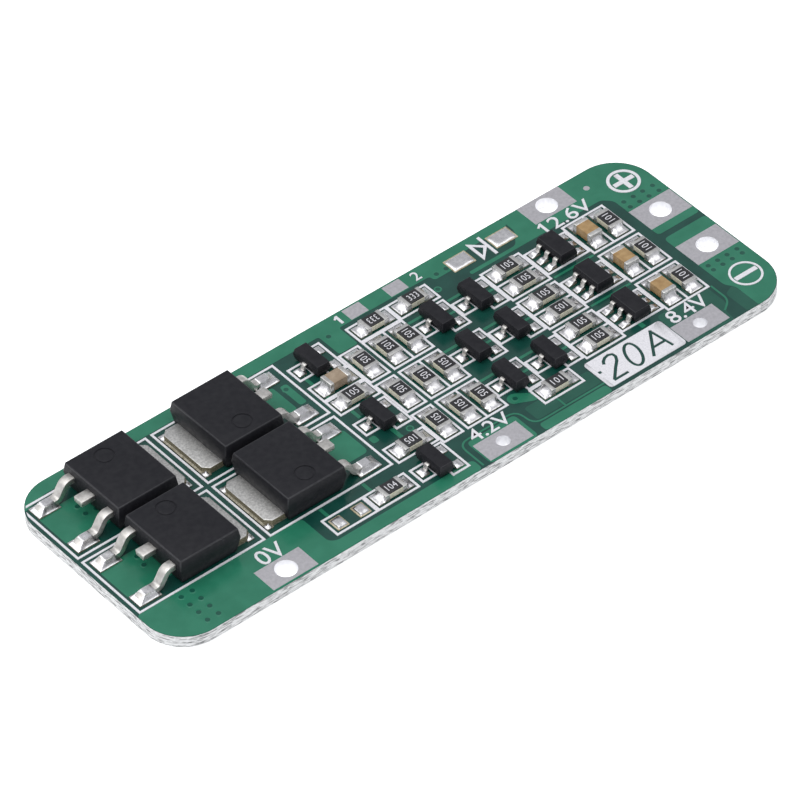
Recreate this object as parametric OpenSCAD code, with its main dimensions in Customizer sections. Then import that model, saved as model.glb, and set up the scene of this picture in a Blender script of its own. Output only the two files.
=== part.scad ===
// Battery management board for three cells in series, with four power transistors.
// Everything is in millimetres. The origin is the centre of the board's underside:
// +X runs from the power transistors to the pack terminals, +Y to the far long edge.
// The board is as long as the blocks that stand in a row on it.

/* [Board] */
// Width of the board
board_w = 20; // [19.8:0.1:26]
// Thickness of the board
board_t = 1; // [0.8:0.1:1.6]
// Radius of the board's corners
corner_r = 3.4; // [0.5:0.1:4]
// Clear strip between a block and the end of the board
end_margin = 1; // [0.8:0.1:2]
// Thickness of the printed ink
ink_t = 0.06; // [0.03:0.01:0.08]
// Width of a printed line
ink_line = 0.18; // [0.12:0.01:0.25]

/* [Terminals] */
// Length of a terminal's copper plate
plate_l = 4.1; // [3:0.1:4.5]
// Width of the plate of a pack terminal
pack_plate_w = 2.65; // [2.2:0.05:3.2]
// Width of the plate at either end of the cell row
cell_plate_w = 2.3; // [2.2:0.05:2.4]
// Width of the plate of a tap between two cells
tap_plate_w = 2.05; // [1.6:0.05:2.3]
// Thickness of a plate
plate_t = 0.07; // [0.05:0.01:0.1]
// Height of an upper plate above the board
plate_proud = 0.02; // [0:0.01:0.04]
// Wire hole of a pack terminal and of the cell row's ends
power_hole_d = 1.74; // [1.2:0.02:2]
// Wire hole of a tap
tap_hole_d = 1.1; // [0.8:0.05:1.4]
// Copper wall inside a hole
plating_t = 0.05; // [0.03:0.01:0.1]
// Distance between the middles of the two pack terminals
pack_spread = 5.3; // [4:0.1:5.6]

/* [Power transistors] */
// Length of the moulded body, along the leads
fet_l = 5.5; // [5:0.1:6]
// Width of the moulded body
fet_w = 6.6; // [6:0.1:7]
// Height of the moulded body above its lands
fet_h = 2.3; // [2:0.05:2.6]
// Gap between two bodies side by side
fet_gap = 0.6; // [0.4:0.05:1]
// Gap between two tabs that face each other
tab_gap = 1.5; // [0.8:0.1:2]
// Length of the tab outside the body
tab_l = 1.4; // [0.8:0.1:1.8]
// Width of the tab
tab_w = 5.3; // [4.6:0.1:5.5]
// Cut at the tab's outer corners
tab_cut = 0.45; // [0.1:0.05:0.8]
// Thickness of the copper strip that makes tab and leads
strip_t = 0.5; // [0.4:0.02:0.6]
// Distance from the body to the toe of a lead
lead_reach = 3.2; // [2.8:0.1:3.6]
// Width of an outer lead
lead_w = 0.75; // [0.6:0.05:0.9]
// Distance between the middles of the two outer leads
lead_spread = 4.6; // [4:0.1:4.8]
// Height of a lead's lower face where it leaves the body
lead_exit = 1.2; // [0.9:0.05:1.3]
// Flat length of a lead's foot
foot_l = 1.5; // [1.2:0.1:1.6]
// Inner radius of a lead's bends
lead_bend_r = 0.35; // [0.2:0.05:0.4]
// Lean of a lead's leg from the horizontal
lead_lean = 58; // [50:1:70]
// Length of the cropped middle lead
stub_l = 1.15; // [0.6:0.05:1.4]
// Width of the cropped middle lead
stub_w = 0.95; // [0.7:0.05:1.1]

/* [Chips] */
// Length of a chip resistor or capacitor
chip_l = 2; // [1.8:0.05:2.2]
// Width of a chip
chip_w = 1.25; // [1.1:0.05:1.4]
// Height of a resistor
resistor_h = 0.5; // [0.4:0.05:0.6]
// Height of a capacitor
capacitor_h = 0.85; // [0.7:0.05:1]
// Length of a chip's metal end
chip_end_l = 0.4; // [0.3:0.05:0.5]
// How far a chip's metal end stands proud of its body
chip_end_t = 0.03; // [0.01:0.01:0.05]
// Length of the land that shows past a chip's end
land_past_chip = 0.65; // [0.5:0.05:0.75]

/* [Small transistors] */
// Length of a small moulded body
small_l = 2.9; // [2.7:0.05:3]
// Width of the body with three leads
three_w = 1.3; // [1.1:0.05:1.5]
// Width of the body with six leads
six_w = 1.6; // [1.4:0.05:1.8]
// Height of a small body above its lands
small_h = 1.05; // [0.9:0.05:1.2]
// Distance between neighbouring leads
small_pitch = 0.95; // [0.9:0.01:1]
// Width of a small lead
small_lead_w = 0.4; // [0.3:0.02:0.45]
// Thickness of a small lead
small_lead_t = 0.15; // [0.1:0.01:0.18]
// Distance from a small body to the toe of its lead
small_reach = 0.6; // [0.55:0.01:0.7]

/* [Solder] */
// Thickness of a tinned land, and so the height at which everything sits
land_t = 0.1; // [0.09:0.01:0.14]
// Width of the solder fillet round the feet of a power transistor
foot_fillet = 0.28; // [0.15:0.01:0.35]
// Height of the solder left on an unused land
cushion_h = 0.25; // [0.12:0.01:0.3]

/* [Layout] */
// How far the lines of two neighbouring frames overlap, so that they print as one
frame_lap = 0.02; // [0.01:0.005:0.1]
// Gap between two printed frames with a copper track between them
track_gap = 0.3; // [0.2:0.01:0.6]
// Gap between the last printed frame and the pack terminals
pack_gap = 0.97; // [0.5:0.01:1.5]
// Clearance from a land to the printed line round it
ink_clear = 0.12; // [0.05:0.01:0.15]
// Clearance from the side of a chip to the printed line beside it
chip_side_clear = 0.18; // [0.1:0.01:0.22]
// How far the power transistors stand off the board's long middle line
bank_y = 1.6; // [1:0.1:1.7]

/* [Hidden] */
$fn = 64;
bend_steps = 6;

// Strip of board past the pack terminals' plates
pack_edge = 0.1;

// Board left free between a long edge and the frames nearest to it
near_row_edge = 1.5;
first_three_edge = 0.8;

// Room kept beside the first column's lower frames
first_step = 0.07;

// Bare strip between the ink and the board's outline
ink_edge = 0.12;

// Heights
top_z = board_t;
seat_z = top_z + land_t;
far_y = board_w / 2;
near_y = -board_w / 2;

// Lands of the small transistors, and how far the three-lead body sits off their middle
three_land = [0.7, 0.8];
six_land = [0.8, 0.55];
three_land_x = three_w / 2 + small_reach;
six_land_x = six_w / 2 + small_reach;
three_shift = -0.1;

// Printed frames: outer sizes
chip_span = chip_l + 2 * land_past_chip;
chip_frame_l = chip_span + 2 * (ink_clear + ink_line);
chip_frame_w = chip_w + 2 * (chip_side_clear + ink_line);
wide_frame_w = chip_frame_w + 0.1;
three_half_l = three_land_x + three_land.x / 2 + ink_clear + ink_line;
three_frame_w = small_l + 0.5;
six_frame_l = 2 * (six_land_x + six_land.x / 2 + ink_clear + ink_line);
six_frame_w = small_l + 0.1;
fet_frame_w = fet_w + 0.25;
fet_frame_past = 0.7;
fet_frame_shift = 0.3;

// The bank of power transistors, measured from the left end of the board
fet_full_l = lead_reach + fet_l + tab_l;
fet_pitch = fet_w + fet_gap;
bank_end = end_margin + 2 * fet_full_l + tab_gap;
bank_frame_end = bank_end + fet_frame_past + fet_frame_shift;

// Columns of small parts, each beside the last one's frame
col_a = bank_frame_end + track_gap + chip_frame_l / 2;
col_b = col_a + chip_frame_l / 2 - frame_lap + chip_frame_w / 2;
col_c = col_b + chip_frame_w + track_gap;
col_d = col_c + chip_frame_w;
col_e = col_d + chip_frame_w / 2 - frame_lap + three_half_l;
col_f = col_e + 2 * three_half_l - frame_lap;
col_g = col_f + three_half_l - frame_lap + chip_frame_l / 2;
col_h = col_g + chip_frame_l / 2 - frame_lap + six_frame_l / 2;
col_i = col_h + six_frame_l / 2 - frame_lap + wide_frame_w / 2;
col_j = col_i + wide_frame_w;
pack_x = col_j + wide_frame_w / 2 + pack_gap + plate_l / 2;
board_l = pack_x + plate_l / 2 + pack_edge;

// Rows: one channel for each cell
channel_pitch = chip_frame_l + track_gap;
channel_y = [-channel_pitch, 0, channel_pitch];
upper_row_y = channel_pitch + chip_frame_l / 2 - frame_lap + chip_frame_w / 2;
lower_row_y = -channel_pitch - three_frame_w / 2 + frame_lap - chip_frame_w / 2;
near_row_y = near_y + near_row_edge + chip_frame_w / 2;
near_row_x = bank_frame_end - chip_frame_l / 2;
spare_x = near_row_x - chip_frame_l + frame_lap;
upper_row_x = col_c - chip_frame_w / 2 + chip_frame_l / 2;
upper_row_x2 = upper_row_x + chip_frame_l - frame_lap;
first_three_y = near_y + first_three_edge + three_frame_w / 2;
first_column_chip_y = [
    2 * chip_frame_w,
    chip_frame_w,
    first_three_y + three_frame_w / 2 + 2 * first_step + chip_frame_w / 2
];
first_column_three_y = [
    first_three_y,
    -chip_frame_w / 2 - first_step,
    first_column_chip_y[0] + chip_frame_w / 2 - frame_lap + three_frame_w / 2
];
low_chip_x = col_f - chip_span / 2;

// Places: distance from the left end, height over the middle line, turn
fet_places = [
    [end_margin + lead_reach + fet_l / 2, bank_y + fet_pitch / 2, 0],
    [end_margin + lead_reach + fet_l / 2, bank_y - fet_pitch / 2, 0],
    [bank_end - lead_reach - fet_l / 2, bank_y + fet_pitch / 2, 180],
    [bank_end - lead_reach - fet_l / 2, bank_y - fet_pitch / 2, 180]
];
resistor_places = concat(
    [for (y = channel_y) each [
        [col_b, y, 90],
        [col_c, y, 90],
        [col_d, y, 90],
        [col_g, y + chip_frame_w / 2, 0],
        [col_g, y - chip_frame_w / 2, 0],
        [col_j, y, 90]
    ]],
    [
        [upper_row_x, upper_row_y, 0],
        [upper_row_x2, upper_row_y, 0],
        [col_a, first_column_chip_y[1], 0],
        [col_a, first_column_chip_y[2], 0],
        [near_row_x, near_row_y, 0],
        [low_chip_x, lower_row_y, 0]
    ]
);
capacitor_places = concat(
    [[col_a, first_column_chip_y[0], 0]],
    [for (y = channel_y) [col_i, y, 90]]
);
three_places = concat(
    [for (y = first_column_three_y) [col_a, y, 0]],
    [for (y = channel_y) each [[col_e, y, 0], [col_f, y, 0]]]
);
six_places = [for (y = channel_y) [col_h, y, 0]];
single_frame_places = concat(
    [for (y = first_column_chip_y) [col_a, y]],
    [for (x = [upper_row_x, upper_row_x2]) [x, upper_row_y]],
    [for (x = [spare_x, near_row_x]) [x, near_row_y]],
    [[low_chip_x, lower_row_y]]
);

// Terminals: name, distance from the left end, height over the middle line, plate width, hole
zero_x = end_margin + fet_full_l - 0.05;
tap_x = col_i - 0.1;
terminal_rows = [
    ["pad_0v", zero_x, near_y + 0.2 + cell_plate_w / 2, cell_plate_w, power_hole_d],
    ["pad_4v2", col_c + 0.2, near_y + 0.25 + tap_plate_w / 2, tap_plate_w, tap_hole_d],
    ["pad_8v4", tap_x, near_y + 0.35 + tap_plate_w / 2, tap_plate_w, tap_hole_d],
    ["pad_12v6", tap_x, far_y - cell_plate_w / 2, cell_plate_w, power_hole_d],
    ["pad_plus", pack_x, 0.2 + pack_spread / 2, pack_plate_w, power_hole_d],
    ["pad_minus", pack_x, 0.2 - pack_spread / 2, pack_plate_w, power_hole_d]
];

// Unused lands and printed signs
diode_y = far_y - 1.7;
diode_land = [2.1, 1.5];
diode_spread = 4.13;
test_land = [1.65, 1.25];
test_y = far_y - 0.78;
spare_land = [1.05, 1.25];
spare_spread = 2.05;
round_land_d = 0.5;
sign_r = 1.33;
plus_sign_y = 7.1;
minus_sign_y = -6.8;
label_block = [7.5, 3.2];
label_x = col_g + 1.15;
label_y = near_y + 0.35 + label_block.y / 2;

// ---------- Helpers ----------

// Puts its children at a place on the board, at height z
module on_board(place, z) {
    translate([place.x - board_l / 2, place.y, z])
        rotate([0, 0, len(place) > 2 ? place[2] : 0])
            children();
}

// Plate centred on its place, standing on z = 0
module plate(size, t) {
    translate([-size.x / 2, -size.y / 2, 0])
        cube([size.x, size.y, t]);
}

// Turns a profile drawn in X and Z into a bar of width w, centred on Y
module bar(w) {
    translate([0, w / 2, 0])
        rotate([90, 0, 0])
            linear_extrude(height = w)
                children();
}

// Turns a profile drawn in Y and Z into a bar of length l, centred on X
module beam(l) {
    translate([-l / 2, 0, 0])
        rotate([90, 0, 90])
            linear_extrude(height = l)
                children();
}

// Rectangle with rounded corners
module rounded_rect(l, w, r) {
    square([l - 2 * r, w], center = true);
    square([l, w - 2 * r], center = true);
    for (x = [-1, 1], y = [-1, 1])
        translate([x * (l / 2 - r), y * (w / 2 - r)])
            circle(r);
}

// Points along an arc about c, from angle a to angle b
function arc_points(c, r, a, b) =
    [for (k = [0 : bend_steps]) c + r * [cos(a + (b - a) * k / bend_steps),
                                         sin(a + (b - a) * k / bend_steps)]];

// Side view of a gull-wing lead: it starts inset behind x = 0 at height rise,
// leans down over two bends and ends on a flat foot whose toe is at x = reach
module gull_wing(reach, rise, t, foot, r, lean, inset) {
    ring_r = r + t / 2;
    leg = (rise - 2 * ring_r * (1 - cos(lean))) / sin(lean);
    heel = [reach - foot, r + t];
    knee = [heel.x - 2 * ring_r * sin(lean) - leg * cos(lean), rise - r];
    polygon(concat(
        [[-inset, rise + t]],
        arc_points(knee, r + t, 90, 90 - lean),
        arc_points(heel, r, 270 - lean, 270),
        [[reach, t], [reach, 0]],
        arc_points(heel, r + t, 270, 270 - lean),
        arc_points(knee, r, 90 - lean, 90),
        [[-inset, rise]]
    ));
}

// Points down a solder fillet, from the top of a wall at x = 0 and height h to the land at x = r
function fillet_points(r, h) =
    let (arc_r = (r * r + h * h) / (2 * min(r, h)))
    r >= h
        ? arc_points([r, arc_r], arc_r, 360 + atan2(h - arc_r, -r), 270)
        : arc_points([arc_r, h], arc_r, 180, 360 + atan2(-h, r - arc_r));

// Side view of that fillet alone
module fillet_side(r, h) {
    polygon(concat([[0, 0]], fillet_points(r, h)));
}

// Moulded body: widest at the parting line, with draft above and below it
module moulding(l, w, low, high, parting, draft_top, draft_low) {
    intersection() {
        bar(w + 1)
            moulding_side(l, low, high, parting, draft_top, draft_low);
        beam(l + 1)
            moulding_side(w, low, high, parting, draft_top, draft_low);
    }
}

module moulding_side(l, low, high, parting, draft_top, draft_low) {
    polygon([
        [-l / 2 + draft_low, low],
        [-l / 2, parting],
        [-l / 2 + draft_top, high],
        [l / 2 - draft_top, high],
        [l / 2, parting],
        [l / 2 - draft_low, low]
    ]);
}

// ---------- Board and terminals ----------

module pcb() {
    color("seagreen")
        difference() {
            linear_extrude(height = board_t)
                rounded_rect(board_l, board_w, corner_r);
            for (row = terminal_rows)
                on_board([row[1], row[2]], 0)
                    terminal_seat(row[3], row[4]);
        }
}

// Room that a terminal takes out of the board
module terminal_seat(w, hole_d) {
    sink = plate_t - plate_proud;
    translate([0, 0, board_t - sink])
        plate([plate_l, w], sink + 1);
    translate([0, 0, -1])
        plate([plate_l, w], 1 + plate_t);
    translate([0, 0, -1])
        cylinder(d = hole_d + 2 * plating_t, h = board_t + 2);
}

// A plate on each face and a plated hole that joins them
module terminal(w, hole_d) {
    sink = plate_t - plate_proud;
    color("silver")
        difference() {
            union() {
                translate([0, 0, board_t - sink])
                    plate([plate_l, w], plate_t);
                plate([plate_l, w], plate_t);
                cylinder(d = hole_d + 2 * plating_t, h = board_t);
            }
            translate([0, 0, -1])
                cylinder(d = hole_d, h = board_t + 2);
        }
}

// Low cushion of solder with a crowned top
module solder_cushion(size, h) {
    intersection() {
        bar(size.y)
            crown_side(size.x, h);
        beam(size.x)
            crown_side(size.y, h);
    }
}

// Crowned side view: a flat base, low upright ends and an arc over them
module crown_side(l, h) {
    sag = 0.7 * h;
    arc_r = (l * l / 4 + sag * sag) / (2 * sag);
    intersection() {
        translate([-l / 2, 0])
            square([l, h]);
        translate([0, h - arc_r])
            circle(arc_r);
    }
}

module bare_lands() {
    color("gainsboro") {
        for (side = [-1, 1]) {
            on_board([col_g + side * diode_spread / 2, diode_y], top_z)
                solder_cushion(diode_land, cushion_h);
            on_board([spare_x + side * spare_spread / 2, near_row_y], top_z)
                solder_cushion(spare_land, cushion_h);
        }
        for (x = [upper_row_x, upper_row_x2])
            on_board([x, test_y], top_z)
                plate(test_land, plate_proud);
        on_board([col_j + 1.4, diode_y + 0.05], top_z)
            cylinder(d = round_land_d, h = plate_proud);
    }
}

// ---------- Power transistors ----------

fet_parting = lead_exit + strip_t / 2;
fet_draft = 0.12;
fet_low = 0.05;
anchor_l = 0.9;
paddle_l = fet_l - 1.3;
mark_d = 1.6;
mark_deep = 0.05;
mark_y = 1.75;

module fet_body() {
    color("dimgray")
        difference() {
            moulding(fet_l, fet_w, fet_low, fet_h, fet_parting, fet_draft, 2 * fet_draft);
            fet_leads();
            translate([0, mark_y, fet_h - mark_deep])
                cylinder(d = mark_d, h = 1);
        }
}

// Tab with its cropped middle lead, and the two outer leads
module fet_leads() {
    color("silver") {
        fet_tab();
        for (side = [-1, 1])
            translate([-fet_l / 2, side * lead_spread / 2, 0])
                mirror([1, 0, 0])
                    bar(lead_w)
                        gull_wing(lead_reach, lead_exit, strip_t, foot_l,
                            lead_bend_r, lead_lean, anchor_l);
    }
}

module fet_tab() {
    tip = fet_l / 2 + tab_l;
    root = fet_l / 2 - paddle_l;
    linear_extrude(height = strip_t)
        polygon([
            [root, -tab_w / 2],
            [tip - tab_cut, -tab_w / 2],
            [tip, -tab_w / 2 + tab_cut],
            [tip, tab_w / 2 - tab_cut],
            [tip - tab_cut, tab_w / 2],
            [root, tab_w / 2]
        ]);
    stub_in = -fet_l / 2 + 0.4;
    bar(stub_w)
        polygon([
            [root + strip_t, 0],
            [root + strip_t, strip_t],
            [stub_in, lead_exit + strip_t],
            [-fet_l / 2 - stub_l, lead_exit + strip_t],
            [-fet_l / 2 - stub_l, lead_exit],
            [stub_in - strip_t / 2, lead_exit],
            [root, 0]
        ]);
}

// ---------- Chips ----------

module metal_ends(h) {
    for (side = [-1, 1])
        translate([side * (chip_l - chip_end_l) / 2, 0, 0])
            plate([chip_end_l, chip_w], h);
}

// Ceramic body with metal ends wrapped round it and a glazed field between them
module resistor() {
    glaze_l = chip_l - 2 * chip_end_l + 0.15;
    glaze_w = chip_w - 0.1;
    color("beige") {
        translate([0, 0, chip_end_t])
            plate([chip_l - 2 * chip_end_t, chip_w], resistor_h - 2 * chip_end_t);
        metal_ends(resistor_h);
        translate([0, 0, resistor_h - chip_end_t])
            plate([glaze_l, glaze_w], 2 * chip_end_t);
    }
}

module capacitor() {
    core_w = chip_w - 2 * chip_end_t;
    color("tan") {
        translate([0, 0, chip_end_t])
            plate([chip_l - 2 * chip_end_t, core_w], capacitor_h - 2 * chip_end_t);
        metal_ends(capacitor_h);
    }
}

// ---------- Small transistors ----------

small_low = 0.08;
small_parting = 0.55;
small_draft = 0.12;
small_inset = 0.25;
small_foot = 0.25;
small_bend_r = 0.05;
small_lean = 76;

// One lead, leaving the body at x = 0
module small_lead() {
    bar(small_lead_w)
        gull_wing(small_reach, small_parting - small_lead_t / 2, small_lead_t, small_foot,
            small_bend_r, small_lean, small_inset);
}

module small_body(w) {
    moulding(w, small_l, small_low, small_h, small_parting, small_draft, small_draft);
}

// One lead on the left side and two on the right
module three_lead_transistor() {
    color("dimgray")
        translate([three_shift, 0, 0]) {
            small_body(three_w);
            translate([-three_w / 2, 0, 0])
                mirror([1, 0, 0])
                    small_lead();
            for (side = [-1, 1])
                translate([three_w / 2, side * small_pitch, 0])
                    small_lead();
        }
}

// Three leads on each side
module six_lead_monitor() {
    color("dimgray") {
        small_body(six_w);
        for (k = [-1 : 1]) {
            translate([six_w / 2, k * small_pitch, 0])
                small_lead();
            translate([-six_w / 2, k * small_pitch, 0])
                mirror([1, 0, 0])
                    small_lead();
        }
    }
}

// ---------- Solder ----------

// Land under a chip's end with the fillet that climbs the end
module chip_joint(h) {
    inner = chip_l / 2 - chip_end_l;
    translate([inner, -chip_w / 2, 0])
        cube([chip_span / 2 - inner, chip_w, land_t]);
    translate([chip_l / 2, 0, land_t])
        bar(chip_w)
            fillet_side(land_past_chip, h);
}

module chip_joints(h) {
    chip_joint(h);
    mirror([1, 0, 0])
        chip_joint(h);
}

// Land under a lead's foot, and the solder that climbs its toe and both sides.
// The toe points to +X and lies at x = 0
module foot_joint(foot, w, t, r) {
    translate([-foot, -w / 2 - r, 0])
        cube([foot + r, w + 2 * r, land_t]);
    translate([0, 0, land_t])
        difference() {
            intersection() {
                bar(w + 2 * r)
                    polygon(concat([[-foot, 0], [-foot, t]], fillet_points(r, t)));
                translate([-foot / 2 + r / 2, 0, 0])
                    beam(foot + r)
                        polygon(concat(
                            [for (p = fillet_points(r, t)) [w / 2 + p.x, p.y]],
                            [for (k = [bend_steps : -1 : 0])
                                let (p = fillet_points(r, t)[k]) [-w / 2 - p.x, p.y]]
                        ));
            }
            translate([-foot - 1, -w / 2, -1])
                cube([foot + 1, w, t + 2]);
        }
}

module solder_power() {
    tab_tip = fet_l / 2 + tab_l;
    color("silver")
        for (place = fet_places)
            on_board(place, top_z) {
                translate([tab_tip - paddle_l / 2 - tab_l / 2, 0, 0])
                    plate([paddle_l + tab_l, tab_w], land_t);
                translate([tab_tip, 0, 0])
                    tab_joint();
                for (side = [-1, 1])
                    translate([-fet_l / 2 - lead_reach, side * lead_spread / 2, 0])
                        mirror([1, 0, 0])
                            foot_joint(foot_l, lead_w, strip_t, foot_fillet);
            }
}

// Solder along the tab's outer edge
module tab_joint() {
    r = 0.15;
    w = tab_w - 2 * tab_cut;
    translate([0, -w / 2, 0])
        cube([r, w, land_t]);
    translate([0, 0, land_t])
        bar(w)
            fillet_side(r, strip_t * 0.7);
}

module solder_chips() {
    color("silver") {
        for (place = resistor_places)
            on_board(place, top_z)
                chip_joints(resistor_h * 0.85);
        for (place = capacitor_places)
            on_board(place, top_z)
                chip_joints(capacitor_h * 0.6);
    }
}

// Land of a small lead, centred on x = 0, and the fillet from the toe to the land's end
module small_joint(land, toe_x) {
    translate([-land.x / 2, -land.y / 2, 0])
        cube([land.x, land.y, land_t]);
    translate([toe_x, 0, land_t])
        bar(small_lead_w)
            fillet_side(land.x / 2 - toe_x, small_lead_t * 1.5);
}

module solder_small() {
    color("silver") {
        for (place = three_places)
            on_board(place, top_z) {
                translate([-three_land_x, 0, 0])
                    mirror([1, 0, 0])
                        small_joint(three_land, -three_shift);
                for (side = [-1, 1])
                    translate([three_land_x, side * small_pitch, 0])
                        small_joint(three_land, three_shift);
            }
        for (place = six_places, k = [-1 : 1])
            on_board(place, top_z) {
                translate([six_land_x, k * small_pitch, 0])
                    small_joint(six_land, 0);
                translate([-six_land_x, k * small_pitch, 0])
                    mirror([1, 0, 0])
                        small_joint(six_land, 0);
            }
    }
}

// ---------- Print ----------

// Rectangular frame of outer size l by w
module frame(l, w) {
    difference() {
        square([l, w], center = true);
        square([l - 2 * ink_line, w - 2 * ink_line], center = true);
    }
}

// Frame for n chips side by side, each in a cell of width w
module chip_frame(n, w) {
    frame(chip_frame_l, n * w);
    for (k = [1 : 1 : n - 1])
        translate([0, (k - n / 2) * w])
            square([chip_frame_l - ink_line, ink_line], center = true);
}

// Frame on the two-lead side and a narrow one round the single lead
module three_frame() {
    inner = 0.25;
    bump_l = three_half_l - 0.45;
    bump_w = 1.66;
    translate([(three_half_l + inner) / 2, 0])
        frame(three_half_l - inner, three_frame_w);
    translate([-three_half_l + bump_l / 2, 0])
        frame(bump_l, bump_w);
}

module fet_frame(shift) {
    translate([(tab_l - lead_reach) / 2 - shift, 0])
        frame(fet_full_l + 2 * fet_frame_past, fet_frame_w);
}

module ring_sign(line) {
    difference() {
        circle(sign_r);
        circle(sign_r - line);
    }
}

// Triangle and bar of a diode sign, pointing to +X
module diode_sign() {
    h = 2.3;
    line = 0.25;
    flat_x = -0.55;
    tip_x = 0.65;
    bar_x = 0.55;
    hole_tip_x = 0.28;
    difference() {
        polygon([[flat_x, -h / 2], [flat_x, h / 2], [tip_x, 0]]);
        polygon([
            [flat_x + line, -h / 2 + line * 2],
            [flat_x + line, h / 2 - line * 2],
            [hole_tip_x, 0]
        ]);
    }
    translate([bar_x, -h / 2])
        square([line, h]);
}

module print_on(place) {
    on_board(place, top_z)
        linear_extrude(height = ink_t)
            children();
}

// Keeps the ink that lies inside the board's outline
module cut_to_board() {
    intersection() {
        children();
        linear_extrude(height = top_z + 1)
            rounded_rect(board_l - 2 * ink_edge, board_w - 2 * ink_edge, corner_r - ink_edge);
    }
}

module print() {
    sign_bar = 0.4;
    color("white") {
        for (place = fet_places)
            cut_to_board()
                print_on(place)
                    fet_frame(place[2] == 0 ? 0 : fet_frame_shift);
        for (y = channel_y) {
            print_on([col_b, y, 90])
                chip_frame(1, chip_frame_w);
            print_on([(col_c + col_d) / 2, y, 90])
                chip_frame(2, chip_frame_w);
            print_on([col_g, y])
                chip_frame(2, chip_frame_w);
            print_on([(col_i + col_j) / 2, y, 90])
                chip_frame(2, wide_frame_w);
        }
        for (place = single_frame_places)
            print_on(place)
                chip_frame(1, chip_frame_w);
        for (place = three_places)
            print_on(place)
                three_frame();
        for (place = six_places)
            print_on(place)
                frame(six_frame_l, six_frame_w);
        print_on([col_g, diode_y])
            diode_sign();
        print_on([pack_x, plus_sign_y]) {
            ring_sign(0.25);
            square([sign_bar, 1.9], center = true);
            square([1.9, sign_bar], center = true);
        }
        print_on([pack_x, minus_sign_y]) {
            ring_sign(0.18);
            square([2.1, sign_bar], center = true);
        }
        print_on([label_x, label_y])
            rounded_rect(label_block.x, label_block.y, 0.3);
    }
}

// ---------- Assembly ----------

pcb();
for (row = terminal_rows)
    on_board([row[1], row[2]], 0) terminal(row[3], row[4]);
bare_lands();
for (i = [1 : len(fet_places)]) {
    on_board(fet_places[i - 1], seat_z) fet_body();
    on_board(fet_places[i - 1], seat_z) fet_leads();
}
for (i = [1 : len(resistor_places)])
    on_board(resistor_places[i - 1], seat_z) resistor();
for (i = [1 : len(capacitor_places)])
    on_board(capacitor_places[i - 1], seat_z) capacitor();
for (i = [1 : len(three_places)])
    on_board(three_places[i - 1], seat_z) three_lead_transistor();
for (i = [1 : len(six_places)])
    on_board(six_places[i - 1], seat_z) six_lead_monitor();
solder_power();
solder_chips();
solder_small();
print();
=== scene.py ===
# %% [markdown]
# # Dressing a battery management board
# The solid model gives every size. This script gives the looks: lacquer over copper, bent tin leads,
# wet solder and printed ink. Each step says what the real thing is, how it could be made, and why
# it is made the way it is here. Lengths are written in millimetres and turned into metres at the end.

# %% Load the solid model
import math
import random

import bmesh
import bpy
from mathutils import Matrix, Vector


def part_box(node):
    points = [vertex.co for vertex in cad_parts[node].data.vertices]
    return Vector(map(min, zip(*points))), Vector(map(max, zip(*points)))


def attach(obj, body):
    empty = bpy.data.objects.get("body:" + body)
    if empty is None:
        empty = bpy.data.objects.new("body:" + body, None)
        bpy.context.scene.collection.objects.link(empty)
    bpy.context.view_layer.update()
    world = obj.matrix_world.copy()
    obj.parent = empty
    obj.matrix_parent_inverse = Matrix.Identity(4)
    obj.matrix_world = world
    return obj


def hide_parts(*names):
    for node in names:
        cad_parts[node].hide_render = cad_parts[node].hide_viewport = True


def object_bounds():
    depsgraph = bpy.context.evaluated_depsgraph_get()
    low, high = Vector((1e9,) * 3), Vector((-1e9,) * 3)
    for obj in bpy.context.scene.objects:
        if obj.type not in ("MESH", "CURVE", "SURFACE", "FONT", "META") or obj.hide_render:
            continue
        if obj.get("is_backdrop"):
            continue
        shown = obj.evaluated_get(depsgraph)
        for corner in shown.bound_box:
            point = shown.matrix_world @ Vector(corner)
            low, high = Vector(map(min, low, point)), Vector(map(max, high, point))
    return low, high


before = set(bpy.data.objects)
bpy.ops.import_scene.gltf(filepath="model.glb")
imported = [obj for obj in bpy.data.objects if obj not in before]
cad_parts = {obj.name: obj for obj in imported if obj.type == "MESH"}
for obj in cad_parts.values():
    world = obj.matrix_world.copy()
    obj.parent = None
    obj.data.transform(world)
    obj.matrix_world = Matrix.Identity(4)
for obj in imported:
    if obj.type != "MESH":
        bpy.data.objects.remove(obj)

solid_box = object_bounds()
print("solids loaded:", len(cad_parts))

# %% [markdown]
# ## Rulers
# All places come from the solids. A corner in millimetres is easier to read than one in metres, so two
# small rulers turn a node's box into its corners and its middle.

# %% Rulers in millimetres
MM = 0.001


def corners(node):
    low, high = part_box(node)
    return Vector(low) / MM, Vector(high) / MM


def middle(node):
    low, high = corners(node)
    return (low + high) / 2


board_low, board_high = corners("pcb")
top_z = board_high.z
ink_t = corners("print")[1].z - top_z
land_t = corners("resistor_1")[0].z - top_z
seat_z = top_z + land_t
print("board", [round(s, 2) for s in board_high - board_low], "lands", round(land_t, 3), "mm thick")

# %% [markdown]
# ## Camera
# The board is seen from its near left corner, a little over forty degrees above the bench, through a
# long lens from almost half a metre. A long lens keeps the far end nearly as large as the near one.
# The camera is turned a little about its own axis, because a hand-held camera is never quite level.

# %% Camera
AZIMUTH, ELEVATION, ROLL = -38.63, 43.19, -1.58
DISTANCE = 452.9
FOCAL, SENSOR, NEAREST = 277.56, 36.0, 10.0
AIM = Vector((-1.07, -0.45, top_z))


def new_object(name, data):
    thing = bpy.data.objects.new(name, data)
    bpy.context.scene.collection.objects.link(thing)
    return thing


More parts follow.
